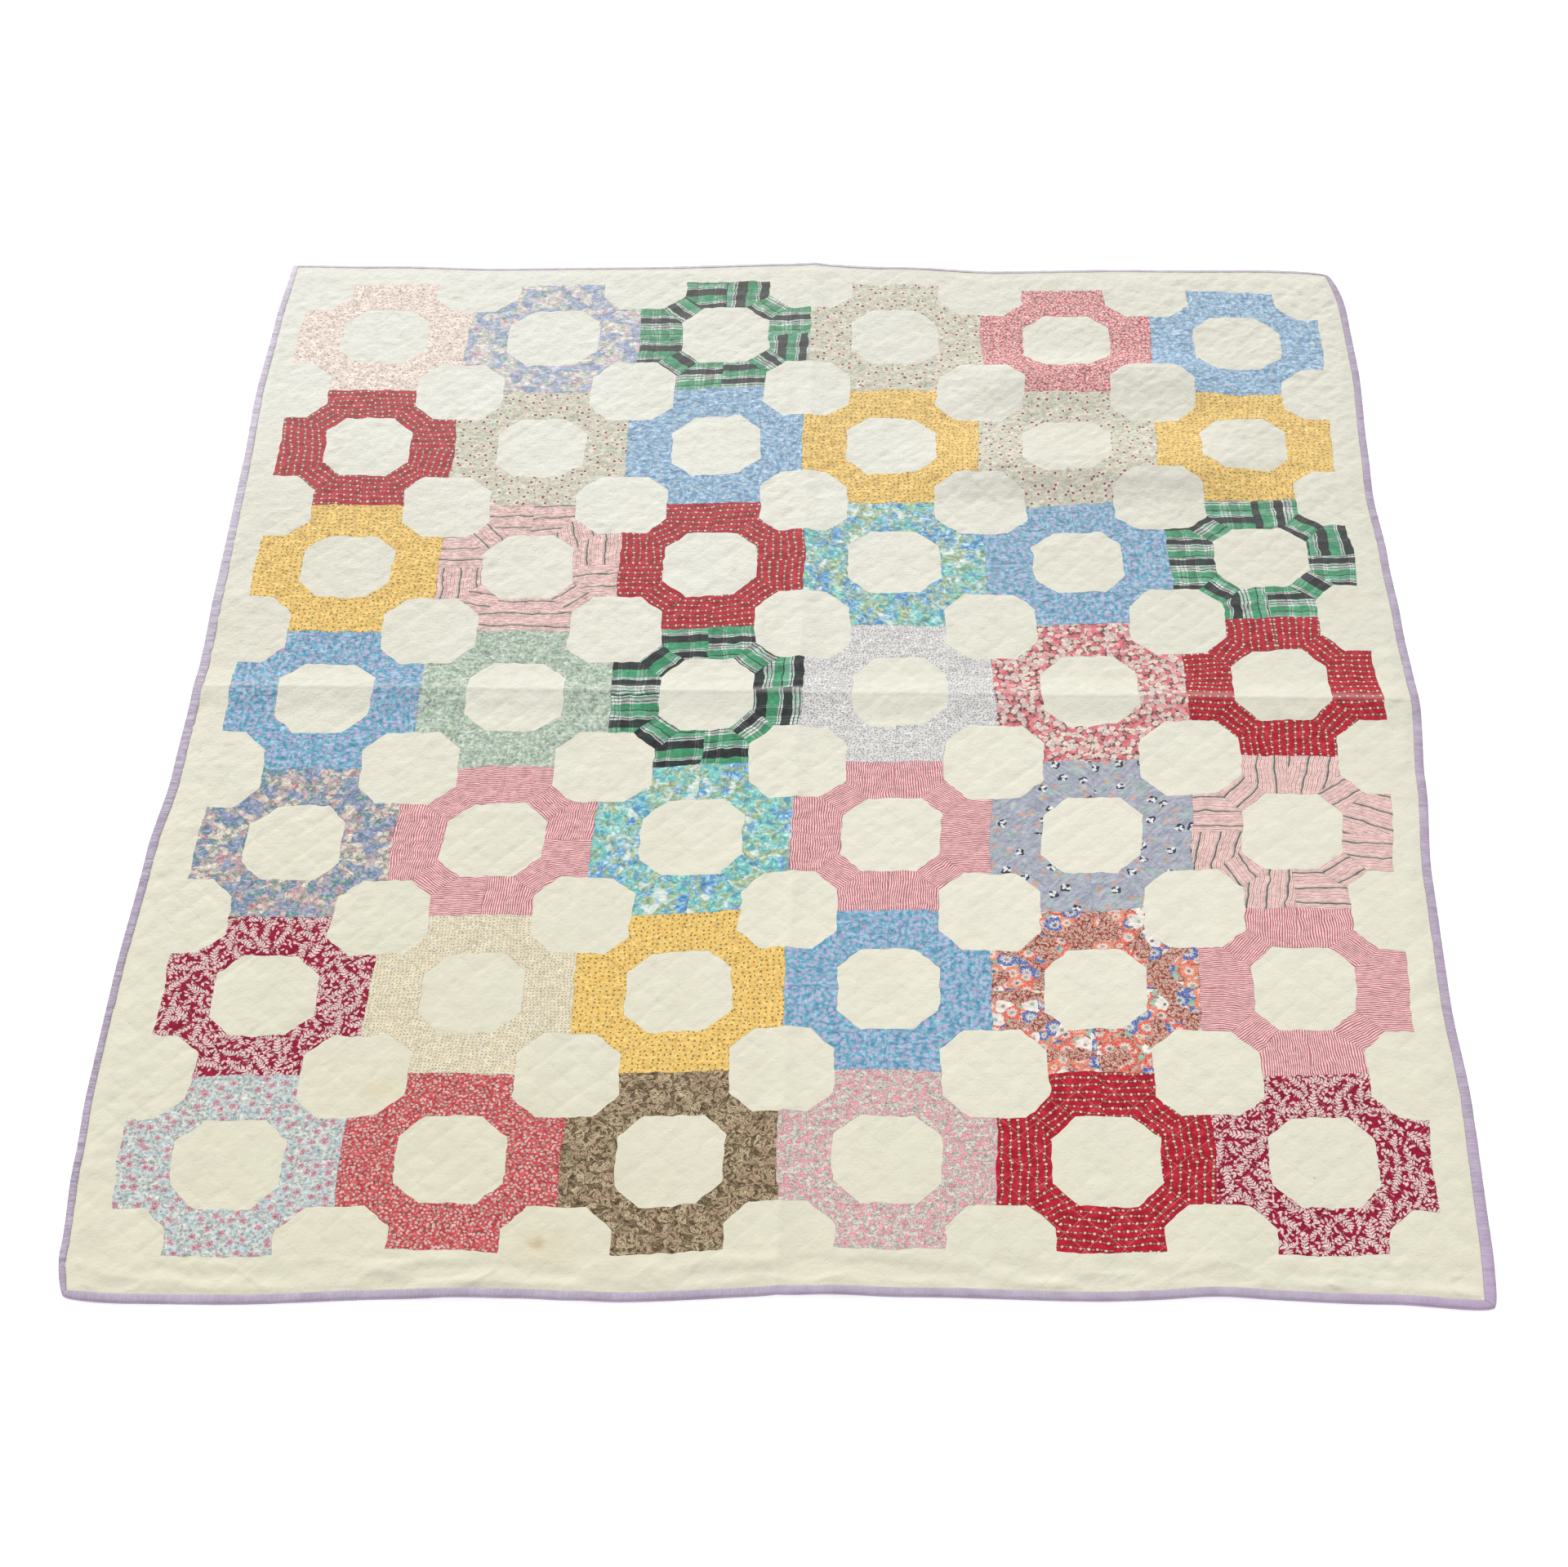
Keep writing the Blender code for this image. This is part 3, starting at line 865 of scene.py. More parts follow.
def sew_print(colouring, **finish):
    """One print: its cloth, and the patches of every ring that is cut from it."""
    name = colouring.__name__
    bath = DyeBath(name + "_cotton")
    place = bath.printed()
    colouring(bath, place)
    cut_patches("patches_" + name, print_of == name, finish_cloth(bath, place, **finish))


# ---- The cream ground -----------------------------------------------------------------------------
# Plain ivory cotton: the middle of each ring, the octagons between four rings, and the strips round
# the outside. It is paler at the far side, yellower near the front, and has a few old stains.

# Old marks on the cream, and wide parts of it with painted shade and painted light.
StainAndPaintedLight = namedtuple("StainAndPaintedLight", "name across along width strength dye")
STAINS_AND_PAINTED_LIGHT = (
    StainAndPaintedLight("tea", -0.3171, -1.0441, 0.015, 0.50, "#b98f5c"),
    StainAndPaintedLight("tea edge", -0.305, -1.048, 0.070, 0.22, "#dcc79c"),
    StainAndPaintedLight("damp", -0.563, -0.783, 0.036, 0.30, "#dfcf9e"),
    StainAndPaintedLight("ink", 0.7446, -0.9328, 0.0035, 0.40, "#8a7560"),
    # Painted shade at the left and the far right, and painted light in the middle.
    StainAndPaintedLight("painted shade left", -0.85, 0.32, 0.55, 0.30, "#dcd7c2"),
    StainAndPaintedLight("painted shade far right", 0.463, 0.624, 0.14, 0.30, "#dcd7c6"),
    StainAndPaintedLight("painted light middle", 0.35, -0.45, 0.75, 0.26, "#fffcee"),
)


def cream_cloth():
    bath = DyeBath("cream_cotton")
    lying = bath.lying()
    across, along = bath.parts(lying)
    bath.colour = bath.mix(bath.under(along, 200.0, 2200.0), tint("#f0f0e7"), tint("#e9e6d3"))
    # It is whitest at the far left, yellower down the left side and a little grey at the far right.
    bath.lay("#f8f8f1", bath.under(across - along, -300.0, 1400.0) * 0.5)
    bath.lay("#e6e2c9", bath.under(across + along, -700.0, 1600.0) * 0.5)
    bath.lay("#dddac8", bath.under(0 - across - along, -900.0, 1200.0) * 0.45)
    bath.lay("#ebe4ca", bath.mottle(lying, 210.0, 3.0) * 0.30)
    bath.lay("#e0dac1", bath.under(bath.mottle(lying, 28.0, 4.0, 7.0), 0.40, 0.12) * 0.18)
    # Stains, painted shade and painted light are laid on one after another.
    for stain_and_light in STAINS_AND_PAINTED_LIGHT:
        stain_and_light_place = bath.scale(bath.wander(lying, 18.0, 6.0), (0.7, 1.0, 1.0))
        middle = (700 * stain_and_light.across, 1000 * stain_and_light.along, 0.0)
        from_stain_and_light = bath.vectors("DISTANCE", stain_and_light_place, middle, output=1)
        covered = bath.under(from_stain_and_light, 500 * stain_and_light.width, 800 * stain_and_light.width) * stain_and_light.strength
        bath.lay(stain_and_light.dye, covered)
    # The cream gets hardly any painted seam shade and very little painted crinkle shade.
    return finish_cloth(bath, bath.printed(), "#d8cdb0", seam_showing=0.08, showing=0.13, wear=0.07)


cream = cream_cloth()
is_centre = (patch == PATCHES) & in_rings & (np.abs(ring_x) < 1) & (np.abs(ring_y) < 1)
cut_patches("cream_ring_middles", is_centre, cream)
cut_patches("cream_octagons_between", (patch == PATCHES) & in_rings & ~is_centre, cream)
cut_patches("cream_border_strips", ~in_rings, cream)


# ---- The prints -----------------------------------------------------------------------------------
# Feed-sack and dress cottons of the nineteen-thirties, each roller printed on plain weave. Every
# function takes a bath and places on the printed cloth, in millimetres, and colours the bath.


def pink_fleck(bath, place):
    bath.ground(bath.mottle(place, 9.0), (0.35, "#fbf0e4"), (0.65, "#f8e6d9"))
    bath.dots(bath.scatter(place, 6.0, 1.0, 31.0), "#f3cfc4", radius=1.6, soft=1.4, share=0.35)
    dye = ((0.0, "#9d555a"), (0.4, "#c67b75"), (0.62, "#807676"), (0.8, "#b9604f"))
    bath.dots(bath.scatter(place, 8.4, 0.95), dye, radius=1.45, soft=1.0, share=0.75)


def sky_fleck(bath, place):
    """Short wavy strokes of darker and paler blue, with a little lilac."""
    brushed = bath.wander(place, 10.0, 3.0)
    blues = ((0.30, "#709dc4"), (0.44, "#8ab3d3"), (0.56, "#a3c6dd"), (0.68, "#bfd7e7"))
    bath.ground(bath.mottle(brushed, 7.0, 2.0, 0.0, 1.9), *blues)
    bath.dots(bath.scatter(place, 13.0, 1.0, 13.0), "#b4b3d6", radius=3.0, soft=2.0, share=0.5)
    for spacing, move, dye in ((9.5, 57.0, "#6494bd"), (10.5, 91.0, "#d6e4ee")):
        stroke = bath.scatter(brushed, spacing, 1.0, move)
        bath.dashes(stroke, dye, thin=0.4, width=1.2, soft=1.0, share=0.6)


def lilac_dot(bath, place):
    bath.ground(bath.mottle(place, 6.0, 2.5, 0.0, 1.8), (0.3, "#5a9aba"), (0.5, "#7fb3cd"), (0.7, "#aed2df"))
    cloud = bath.under(bath.mottle(place, 17.0, 2.0, 51.0), 0.45, 0.14)
    bath.lay("#4f86b0", cloud * 0.30)
    flecks = ((0.0, "#cfe2e8"), (0.35, "#7bc3c6"), (0.7, "#4a7eaa"))
    bath.dots(bath.scatter(place, 7.0, 1.0, 77.0), flecks, radius=1.3, soft=1.2, share=0.55)
    dot = bath.scatter(bath.wander(place, 6.0, 0.8), 12.5, 0.7)
    bath.dots(dot, "#a9b8dc", radius=4.2, soft=2.0, share=0.50)
    bath.dots(dot, "#cfb4d6", radius=2.9, soft=1.4, share=0.72)


def gold_fleck(bath, place):
    """Short olive dashes, and a few red ones, on mottled gold."""
    bath.ground(bath.mottle(place, 5.0, 3.0), (0.32, "#edbf62"), (0.5, "#f6d074"), (0.68, "#fadf97"))
    bath.dots(bath.scatter(place, 5.2, 0.9, 40.0), "#d69243", radius=0.9, soft=0.9, share=0.5)
    dash = bath.scatter(place, 8.8, 0.5)
    flat = bath.maths("MAXIMUM", abs(dash.across) * 0.75, abs(dash.along))
    dye = bath.pick(dash.tone, (0.0, "#653f1d"), (0.5, "#7f5526"), (0.85, "#ab4a2c"))
    bath.lay(dye, bath.under(flat, 1.15, 0.9) * 0.85)


def grey_fleck(bath, place):
    bath.ground(bath.mottle(place, 7.0), (0.35, "#e0dedb"), (0.65, "#efedea"))
    bath.dots(bath.scatter(place, 3.8, 0.9, 50.0), "#b8b8bc", radius=0.85, share=0.5)
    dye = ((0.0, "#4f5058"), (0.45, "#7f767c"), (0.75, "#5b625f"))
    bath.dots(bath.scatter(place, 5.0, 0.75), dye, radius=1.05, soft=0.7, share=0.78)


def cream_fleck(bath, place):
    bath.ground(bath.mottle(place, 10.0), (0.35, "#e9dfc2"), (0.65, "#f1e9d2"))
    dye = ((0.0, "#8f8c72"), (0.4, "#b99d62"), (0.75, "#b98f7e"))
    bath.dots(bath.scatter(place, 5.4, 0.35), dye, radius=1.2, soft=0.7, share=0.85)
    bath.dots(bath.scatter(place, 5.4, 0.5, 2.7), "#cbb071", radius=0.8, soft=0.6, share=0.6)


DOT_SPACING = 12.0


def dot_row(bath, place):
    """Rows on red: a little cream heart, then a cream dash, each edged in brown, and so on."""
    across, along = bath.parts(bath.wander(place, 16.0, 1.1))
    row = bath.maths("FLOOR", along / DOT_SPACING)
    # Every row starts at its own place.
    step = (across + bath.maths("SINE", row * 12.9) * 9.0) / DOT_SPACING
    in_row, in_step, beside = (
        (bath.maths("FRACT", share) - 0.5) * DOT_SPACING for share in (along / DOT_SPACING, step, step + 0.5)
    )
    bath.ground(bath.mottle(place, 16.0, 3.0), (0.3, "#a50e28"), (0.55, "#c01c34"), (0.75, "#d03242"))
    heart = bath.maths("SQRT", in_step * in_step + in_row * in_row)
    dash_end = bath.maths("MAXIMUM", abs(beside) - 1.5, 0.0)
    dash = bath.maths("SQRT", dash_end * dash_end + in_row * in_row)
    bath.lay("#5c1f22", bath.under(heart, 2.8, 0.9) * 0.8)
    bath.lay("#572a26", bath.under(dash, 1.8, 0.8) * 0.8)
    core = bath.under(bath.maths("FRACT", across * (1 / 2.1)), 0.74, 0.2)
    bath.lay("#d0b08c", bath.under(dash, 0.85, 0.6) * core * 0.8)
    bath.lay("#f0d6c2", bath.under(heart, 2.0, 1.0) * 0.92)


def berry(bath, place):
    """Small pale flowers, each with a brown shadow, crowded on red with specks of leaf."""
    bath.ground(bath.mottle(place, 9.0, 3.0), (0.3, "#b8353f"), (0.5, "#d84a52"), (0.7, "#e66065"))
    leaf_dye = ((0.0, "#6f5546"), (0.3, "#e8614f"), (0.55, "#8a4a44"), (0.8, "#e48f88"))
    bath.dots(bath.scatter(place, 4.8, 1.0, 23.0), leaf_dye, radius=1.5, soft=1.0, share=0.8)
    bloom = bath.scatter(place, 5.4, 0.9)
    bath.dots(bloom, "#86403c", radius=2.7, soft=1.0, share=0.6)
    dye = ((0.0, "#efc4c0"), (0.38, "#e58f93"), (0.66, "#f0d8cf"), (0.88, "#b3a894"))
    bath.flowers(bloom, dye, petals=5, radius=2.0, depth=0.15, soft=0.9, share=0.88)
    bath.dots(bloom, "#c06a68", radius=0.8, soft=0.6, share=0.5)


def rose_curl(bath, place):
    bath.ground(bath.mottle(place, 8.0), (0.3, "#be4455"), (0.7, "#d16570"))
    curl = bath.scatter(bath.wander(place, 5.0, 1.4), 4.6)
    bath.dots(curl, "#f3cbc4", radius=1.75, soft=0.9, share=0.95)
    bath.dots(curl, "#c9606b", radius=0.6, soft=0.6, share=0.7)
    bath.dots(bath.scatter(place, 8.0, 1.0, 64.0), "#f7dfd8", radius=1.7, soft=0.8, share=0.85)


def rosebud(bath, place):
    """Dark red buds in cream, loosely set on a grey-green ground of fine squiggles."""
    bath.ground(bath.mottle(place, 7.0, 3.0), (0.3, "#d2d1bb"), (0.5, "#dedac6"), (0.7, "#e9e4d4"))
    vine = bath.scatter(bath.wander(place, 11.0, 5.0, 20.0), 8.5, 1.0, 17.0)
    vine_dye = ((0.0, "#abcdb9"), (0.35, "#dbb7ac"), (0.6, "#a4ad93"), (0.85, "#cabfa4"))
    bath.rings(vine, vine_dye, radius=3.0, width=0.6, soft=0.8, share=0.7)
    mark_dye = ((0.0, "#878c76"), (0.6, "#a8706a"))
    bath.dots(bath.scatter(place, 11.0, 1.0, 71.0), mark_dye, radius=0.95, soft=0.6, share=0.6)
    bud = bath.scatter(place, 18.5, 0.85)
    bath.flowers(bud, "#f3ecdf", petals=5, radius=4.8, depth=0.35, soft=1.2, share=0.8)
    bath.flowers(bud, "#97323e", petals=3, radius=2.9, depth=0.2, soft=0.8, share=0.93)


def paint_meadow(bath, place, ground, petals, blues, shadow, light):
    """Watery blossoms, blue and pale in turn, run together."""
    grown = bath.wander(bath.wander(place, 26.0, 7.0), 7.0, 2.6, 40.0)
    petal = bath.scatter(grown, 10.5, 1.0, 15.0)
    petal_dye = bath.pick(petal.chance, *zip((0.0, 0.2, 0.42, 0.56, 0.72, 0.88), petals))
    bath.colour = tint(ground)
    bath.dots(petal, petal_dye, radius=5.2, soft=2.4)
    cloud = bath.under(bath.mottle(place, 34.0, 1.5), 0.50, 0.05)
    bloom = bath.scatter(grown, 12.0, 0.95)
    bath.lay(bath.pick(bloom.chance, *zip((0.0, 0.30, 0.52, 0.70, 0.86), blues)), cloud * 0.95)
    dabs = bath.mottle(grown, 4.4, 2.0, 11.0)
    bath.lay(shadow, bath.under(dabs, 0.42, 0.12) * 0.45)
    bath.lay(light, bath.under(1 - dabs, 0.40, 0.10) * 0.4)
    flower = bath.scatter(place, 18.0, 1.0, 35.0)
    bath.lay(light, bath.petals(flower, 5, 4.8, 0.4, 1.8) * (1 - cloud * 0.6) * 0.75)
    bath.dots(flower, "#c6bd86", radius=1.3, soft=0.9, share=0.6)


def meadow(bath, place):
    petals = ("#e8c3c8", "#f2ecdf", "#b9ccbc", "#d6cbdd", "#f0e0da", "#deb0b8")
    blues = ("#96a6cc", "#aeb2d6", "#9ab1cf", "#93b4ba", "#c6ccde")
    paint_meadow(bath, place, "#d3d4c9", petals, blues, "#a3acb8", "#ecebe2")


def deep_meadow(bath, place):
    """The same print from a darker run."""
    petals = ("#d3a2ac", "#ebe3d2", "#93a79c", "#c0abba", "#e2c9c0", "#cd8c98")
    blues = ("#7890b4", "#929fc2", "#7497ae", "#669a9d", "#a6aec6")
    paint_meadow(bath, place, "#aeaba4", petals, blues, "#6c6f78", "#e9e0d0")


def dahlia(bath, place):
    """Large blue and turquoise blooms in a watery wash, with sage leaves under and over them."""
    wash = bath.wander(place, 14.0, 5.0, 30.0)
    watery = ((0.34, "#9fcedb"), (0.46, "#d3e6e3"), (0.56, "#f1f3e9"), (0.68, "#b3dacb"))
    bath.ground(bath.mottle(wash, 15.0, 3.0), *watery)
    leaf_dye = bath.ramp(bath.mottle(place, 7.0), ((0.3, "#7f9a76"), (0.5, "#a3bb92"), (0.7, "#cbdcb8")))
    leaves = []
    for spacing, length, move in ((27.0, 7.5, 61.0), (22.0, 4.6, 25.0)):
        leaf = bath.scatter(wash, spacing, 1.0, move)
        leaf_along, leaf_across = bath.turned(leaf)
        leaf_shape = bath.maths("MAXIMUM", abs(leaf_along) * 0.5, abs(leaf_across) * 1.2)
        leaves.append(bath.under(leaf_shape, length, 2.6) * 0.80)
    bath.lay(leaf_dye, leaves[0])
    for spacing, radius, move in ((30.0, 12.0, 90.0), (54.0, 27.0, 0.0)):
        bloom = bath.scatter(bath.wander(place, 11.0, 3.4), spacing, 0.9, move)
        angle = bath.maths("ARCTAN2", bloom.along, bloom.across)
        spread_x = angle * 2.3 + bloom.chance * 20
        spread_y = bloom.distance * 0.07 + bloom.chance * 40
        spread = bath.node("ShaderNodeCombineXYZ", X=spread_x, Y=spread_y)
        streak = bath.noise(spread, detail=1.4, distortion=0.6)
        streak = streak * 0.60 + bath.mottle(wash, 11.0, 2.4, 18.0) * 0.40
        blue = bath.ramp(streak, ((0.34, "#3f7fbf"), (0.46, "#66a6d8"), (0.56, "#94c8e6"), (0.68, "#d8ecf0")))
        mint = bath.ramp(streak, ((0.34, "#4fa6b4"), (0.46, "#74c8c8"), (0.56, "#9adccf"), (0.68, "#dcf2e6")))
        dye = bath.mix(bath.under(bloom.tone, 0.47, 0.2), mint, blue)
        dye = bath.mix(bath.under(bloom.distance, radius * 0.22, 5.0) * 0.65, dye, tint("#4a7db2"))
        bath.flowers(bloom, dye, petals=7, radius=radius, depth=0.40, soft=5.0, share=0.92)
    bath.lay(leaf_dye, leaves[1])


def sage_leaf(bath, place):
    """Brushed leaves in sage, grey and white."""
    brushed = bath.wander(place, 8.0, 3.0)
    bath.ground(bath.mottle(brushed, 9.0, 3.0), (0.3, "#a9bfa6"), (0.5, "#bfd0bd"), (0.7, "#d5ddd0"))
    leaf_dye = ((0.0, "#8ea68f"), (0.4, "#a5a6ad"), (0.7, "#dfe4db"))
    bath.dashes(bath.scatter(brushed, 8.5, 1.0), leaf_dye, thin=0.5, width=1.7, soft=0.8, share=0.75)
    bath.dashes(bath.scatter(place, 7.0, 1.0, 81.0), "#6f7f78", thin=0.4, width=0.6, soft=0.4, share=0.55)


def posy(bath, place):
    """Close little posies in coral, blush and cream on maroon brown."""
    grown = bath.wander(place, 5.0, 1.8)
    bath.ground(bath.mottle(place, 4.0), (0.35, "#70403f"), (0.65, "#96615f"))
    leaf_dye = ((0.0, "#988374"), (0.4, "#d39a97"), (0.75, "#dfc3b6"))
    bath.dots(bath.scatter(grown, 5.0, 1.0, 43.0), leaf_dye, radius=1.6, soft=1.2, share=0.85)
    bloom = bath.scatter(grown, 8.8, 0.85)
    dyes = ((0.0, "#ec7a84"), (0.18, "#f3e7d8"), (0.46, "#f1b3b1"), (0.60, "#e8d8d2"), (0.90, "#ee9296"))
    dye = bath.pick(bloom.tone, *dyes)
    dye = bath.mix(bath.under(bath.mottle(grown, 2.6, 2.0, 5.0), 0.45, 0.2) * 0.30, dye, tint("#b97c7c"))
    bath.flowers(bloom, dye, petals=5, radius=5.2, depth=0.16, soft=1.8)
    bath.dots(bloom, "#c25f67", radius=1.2, soft=1.6, share=0.36)


TICKING_REPEAT = 3.5


def ticking(bath, place):
    """A fine red and white stripe."""
    _, along = bath.parts(bath.wander(bath.wander(place, 16.0, 0.3), 5.0, 0.15))
    stripe = abs(bath.maths("FRACT", along / TICKING_REPEAT) - 0.5)
    bath.colour = bath.mix(bath.under(stripe, 0.228, 0.18), tint("#f7dcd8"), tint("#bc4457"))
    bath.lay("#e6a5ab", bath.mottle(place, 9.0, 3.0, 14.0) * 0.20)


STRIPE_REPEAT = 29.0
# The stripe's repeat. Columns: where a line starts, in shares of the repeat, and its dye.
MIXED_LINES = (
    (0.000, "#26322d"),
    (0.060, "#cfccc4"),
    (0.080, "#4c5852"),
    (0.105, "#ecdacd"),
    (0.150, "#dd929a"),
    (0.195, "#f0dfd3"),
    (0.260, "#e6adb0"),
    (0.300, "#f0dfd3"),
    (0.360, "#d26f7a"),
    (0.405, "#f0dfd3"),
    (0.465, "#e6adb0"),
    (0.505, "#f0dfd3"),
    (0.560, "#d97f89"),
    (0.605, "#f0dcd5"),
    (0.670, "#e6adb0"),
    (0.710, "#f0dfd3"),
    (0.775, "#d26f7a"),
    (0.820, "#f0dfd3"),
    (0.880, "#dd969d"),
    (0.920, "#f0dfd3"),
    (0.965, "#a9aaa2"),
)


def mixed_stripe(bath, place):
    _, along = bath.parts(bath.wander(bath.wander(place, 22.0, 0.9), 6.0, 0.25))
    bath.colour = bath.pick(bath.maths("FRACT", along / STRIPE_REPEAT), *MIXED_LINES)
    bath.lay("#ecc5bf", bath.mottle(place, 5.0, 2.0, 3.0) * 0.26)


PLAID_REPEAT = 104.0
WARP_START = 0.33
# The plaid's repeat, the same both ways. Columns: where a band starts, in shares of it, and its dye.
PLAID_BANDS = (
    (0.000, "#eef2ec"),
    (0.038, "#1c1f24"),
    (0.052, "#e9efe9"),
    (0.084, "#a9d6bd"),
    (0.104, "#1c1f24"),
    (0.118, "#eef2ec"),
    (0.155, "#12121d"),
    (0.300, "#e9efe9"),
    (0.322, "#1c1f24"),
    (0.334, "#e3ebe5"),
    (0.358, "#3f9c6e"),
    (0.535, "#11111c"),
    (0.706, "#e9efe9"),
    (0.730, "#23272b"),
    (0.744, "#e9efe9"),
    (0.772, "#69b38f"),
    (0.862, "#1b2422"),
    (0.880, "#3c9d6d"),
)


def plaid(bath, place):
    """Green, black and white bands woven both ways. The pale ones let the bands that they cross show."""
    across, along = bath.parts(bath.wander(bath.wander(place, 18.0, 1.2), 5.0, 0.5))
    weft = bath.pick(bath.maths("FRACT", along / PLAID_REPEAT), *PLAID_BANDS)
    warp = bath.pick(bath.maths("FRACT", across / PLAID_REPEAT + WARP_START), *PLAID_BANDS)
    paleness = bath.node("ShaderNodeRGBToBW", Color=weft)
    share = (paleness * 0.5 + 0.05) * (bath.mottle(place, 1.6, 2.0, 0.0, 3.0) * 0.9 + 0.55)
    bath.colour = bath.mix(share, weft, warp)
    bath.lay("#dbe5dd", bath.mottle(place, 2.4, 2.0, 7.0, 5.0) * 0.05)


def pansy(bath, place):
    """Black and white pansies and orange buds on a brushed grey."""
    across, along = bath.parts(place)
    brushed = bath.node("ShaderNodeCombineXYZ", X=(across + along) * 0.707, Y=(along - across) * 0.707)
    greys = ((0.30, "#a1a3b4"), (0.5, "#b1b2c2"), (0.70, "#c0c1cc"))
    bath.ground(bath.mottle(brushed, 4.5, 3.0, 0.0, 6.0), *greys)
    haze = bath.under(bath.mottle(place, 22.0, 2.0, 33.0), 0.42, 0.16)
    bath.lay("#b5cbbf", haze * 0.5)
    bud = bath.scatter(place, 33.0, 0.8, 52.0)
    bath.flowers(bud, "#e5a684", petals=3, radius=5.0, depth=0.4, soft=2.4, share=0.7)
    bath.dashes(bath.scatter(place, 17.0, 1.0, 12.0), "#86b3a0", thin=0.2, width=1.0, soft=0.8, share=0.6)
    bloom = bath.scatter(bath.wander(place, 8.0, 1.6), 42.0, 0.7)
    bloom_along, bloom_across = bath.turned(bloom)
    angle = bath.maths("ARCTAN2", bloom_across, bloom_along)
    outer = bath.petals(bloom, 4, 8.0, 0.25, 1.0)
    dark = bath.under(bath.maths("COSINE", angle * 2 + bloom_along * 0.22), 0.30, 0.6)
    dye = bath.mix(dark, tint("#eeeef1"), tint("#3a3e50"))
    heart_x = bloom_along - 1.6
    heart = bath.maths("SQRT", heart_x * heart_x * 1.6 + bloom_across * bloom_across * 0.5)
    dye = bath.mix(bath.under(heart, 2.9, 1.0), dye, tint("#f3f3f3"))
    dye = bath.mix(bath.under(bloom.distance, 0.9, 0.6) * 0.8, dye, tint("#c9a552"))
    bath.lay(dye, outer * 0.97)


def sprig(bath, place):
    """Sprays of pointed leaves in pinkish white on burgundy."""
    bath.ground(bath.mottle(place, 25.0), (0.3, "#8b0a2e"), (0.7, "#a2143b"))
    for spacing, move in ((10.5, 80.0), (11.5, 23.0)):
        loose = bath.scatter(place, spacing, 1.0, move)
        loose_along, loose_across = bath.turned(loose)
        share = loose_along * (1 / 4.0)
        leaf = bath.under(abs(loose_across), (1 - share * share) * 1.75, 0.6)
        leaf = leaf * bath.under(abs(share), 1.0, 0.1)
        bath.lay("#eccfca", leaf * 0.92)
    for spacing, reach, move in ((26.0, 13.0, 50.0), (32.0, 17.0, 0.0)):
        fern = bath.scatter(bath.wander(place, 16.0, 3.0), spacing, 0.8, move)
        stem_run, stem_off = bath.turned(fern)
        stem_off = abs(stem_off + stem_run * stem_run * 0.014)
        share = stem_run / reach
        in_reach = bath.under(abs(share), 1.0, 0.1)
        room = bath.under(stem_off, (1 - share * share) * (reach * 0.46), 1.0)
        bath.lay("#930f36", room * in_reach * 0.92)
        leaflet = abs(bath.maths("FRACT", (stem_run - stem_off * 0.7) * (1 / 5.2)) - 0.5)
        width = (1 - share * share) * (reach * 0.38)
        plump = 0.36 - (stem_off / width - 0.45) ** 2 * 0.9
        blade = bath.under(stem_off, width, 0.4) * bath.under(leaflet, plump, 0.10)
        blade = blade * bath.under(abs(share), 0.95, 0.1)
        stem = bath.under(stem_off, 0.55, 0.5) * in_reach
        bath.lay("#f1d9d4", bath.maths("MAXIMUM", blade, stem) * 0.94)


def anemone(bath, place):
    """Scalloped orange, blue and white blooms in bands, on a brown crowded with pale flecks."""
    curl = bath.scatter(bath.wander(place, 5.0, 2.6), 5.2)
    bath.ground(bath.mottle(place, 9.0), (0.3, "#8e3b31"), (0.7, "#b05a4a"))
    bath.rings(curl, "#e9cdbb", radius=1.5, width=0.56, soft=0.8, share=0.85)
    bath.dashes(bath.scatter(place, 4.4, 1.0, 57.0), "#efdaca", thin=0.4, width=0.55, soft=0.6, share=0.6)
    band = bath.under(bath.mottle(place, 52.0, 0.0, 21.0), 0.55, 0.03)
    leaf = bath.scatter(place, 20.0, 0.9, 73.0)
    bath.lay("#a6c8b2", bath.petals(leaf, 3, 8.5, 0.3, 1.2) * band * 0.95)
    brushed = bath.mottle(place, 2.6, 2.0, 9.0)
    for spacing, radius, move in ((22.0, 10.5, 37.0), (27.0, 14.5, 0.0)):
        bloom = bath.scatter(bath.wander(place, 7.0, 1.2), spacing, 0.7, move)
        dye = bath.pick(bloom.tone, (0.0, "#e55a42"), (0.38, "#3a66b2"), (0.58, "#f5f1e8"), (0.79, "#ee8766"))
        dye = bath.mix(bath.under(brushed, 0.47, 0.2) * 0.35, dye, tint("#f0d3c8"))
        bath.lay(dye, bath.petals(bloom, 9, radius, 0.17, 1.0) * band)
        bath.lay("#f4ebe2", bath.petals(bloom, 11, radius * 0.58, 0.46, 2.0) * band * 0.80)
        heart_dye = bath.pick(bloom.chance, (0.0, "#84b39d"), (0.4, "#56656a"), (0.75, "#b4907a"))
        bath.lay(heart_dye, bath.petals(bloom, 7, radius * 0.25, 0.4, 0.9) * band * 0.85)


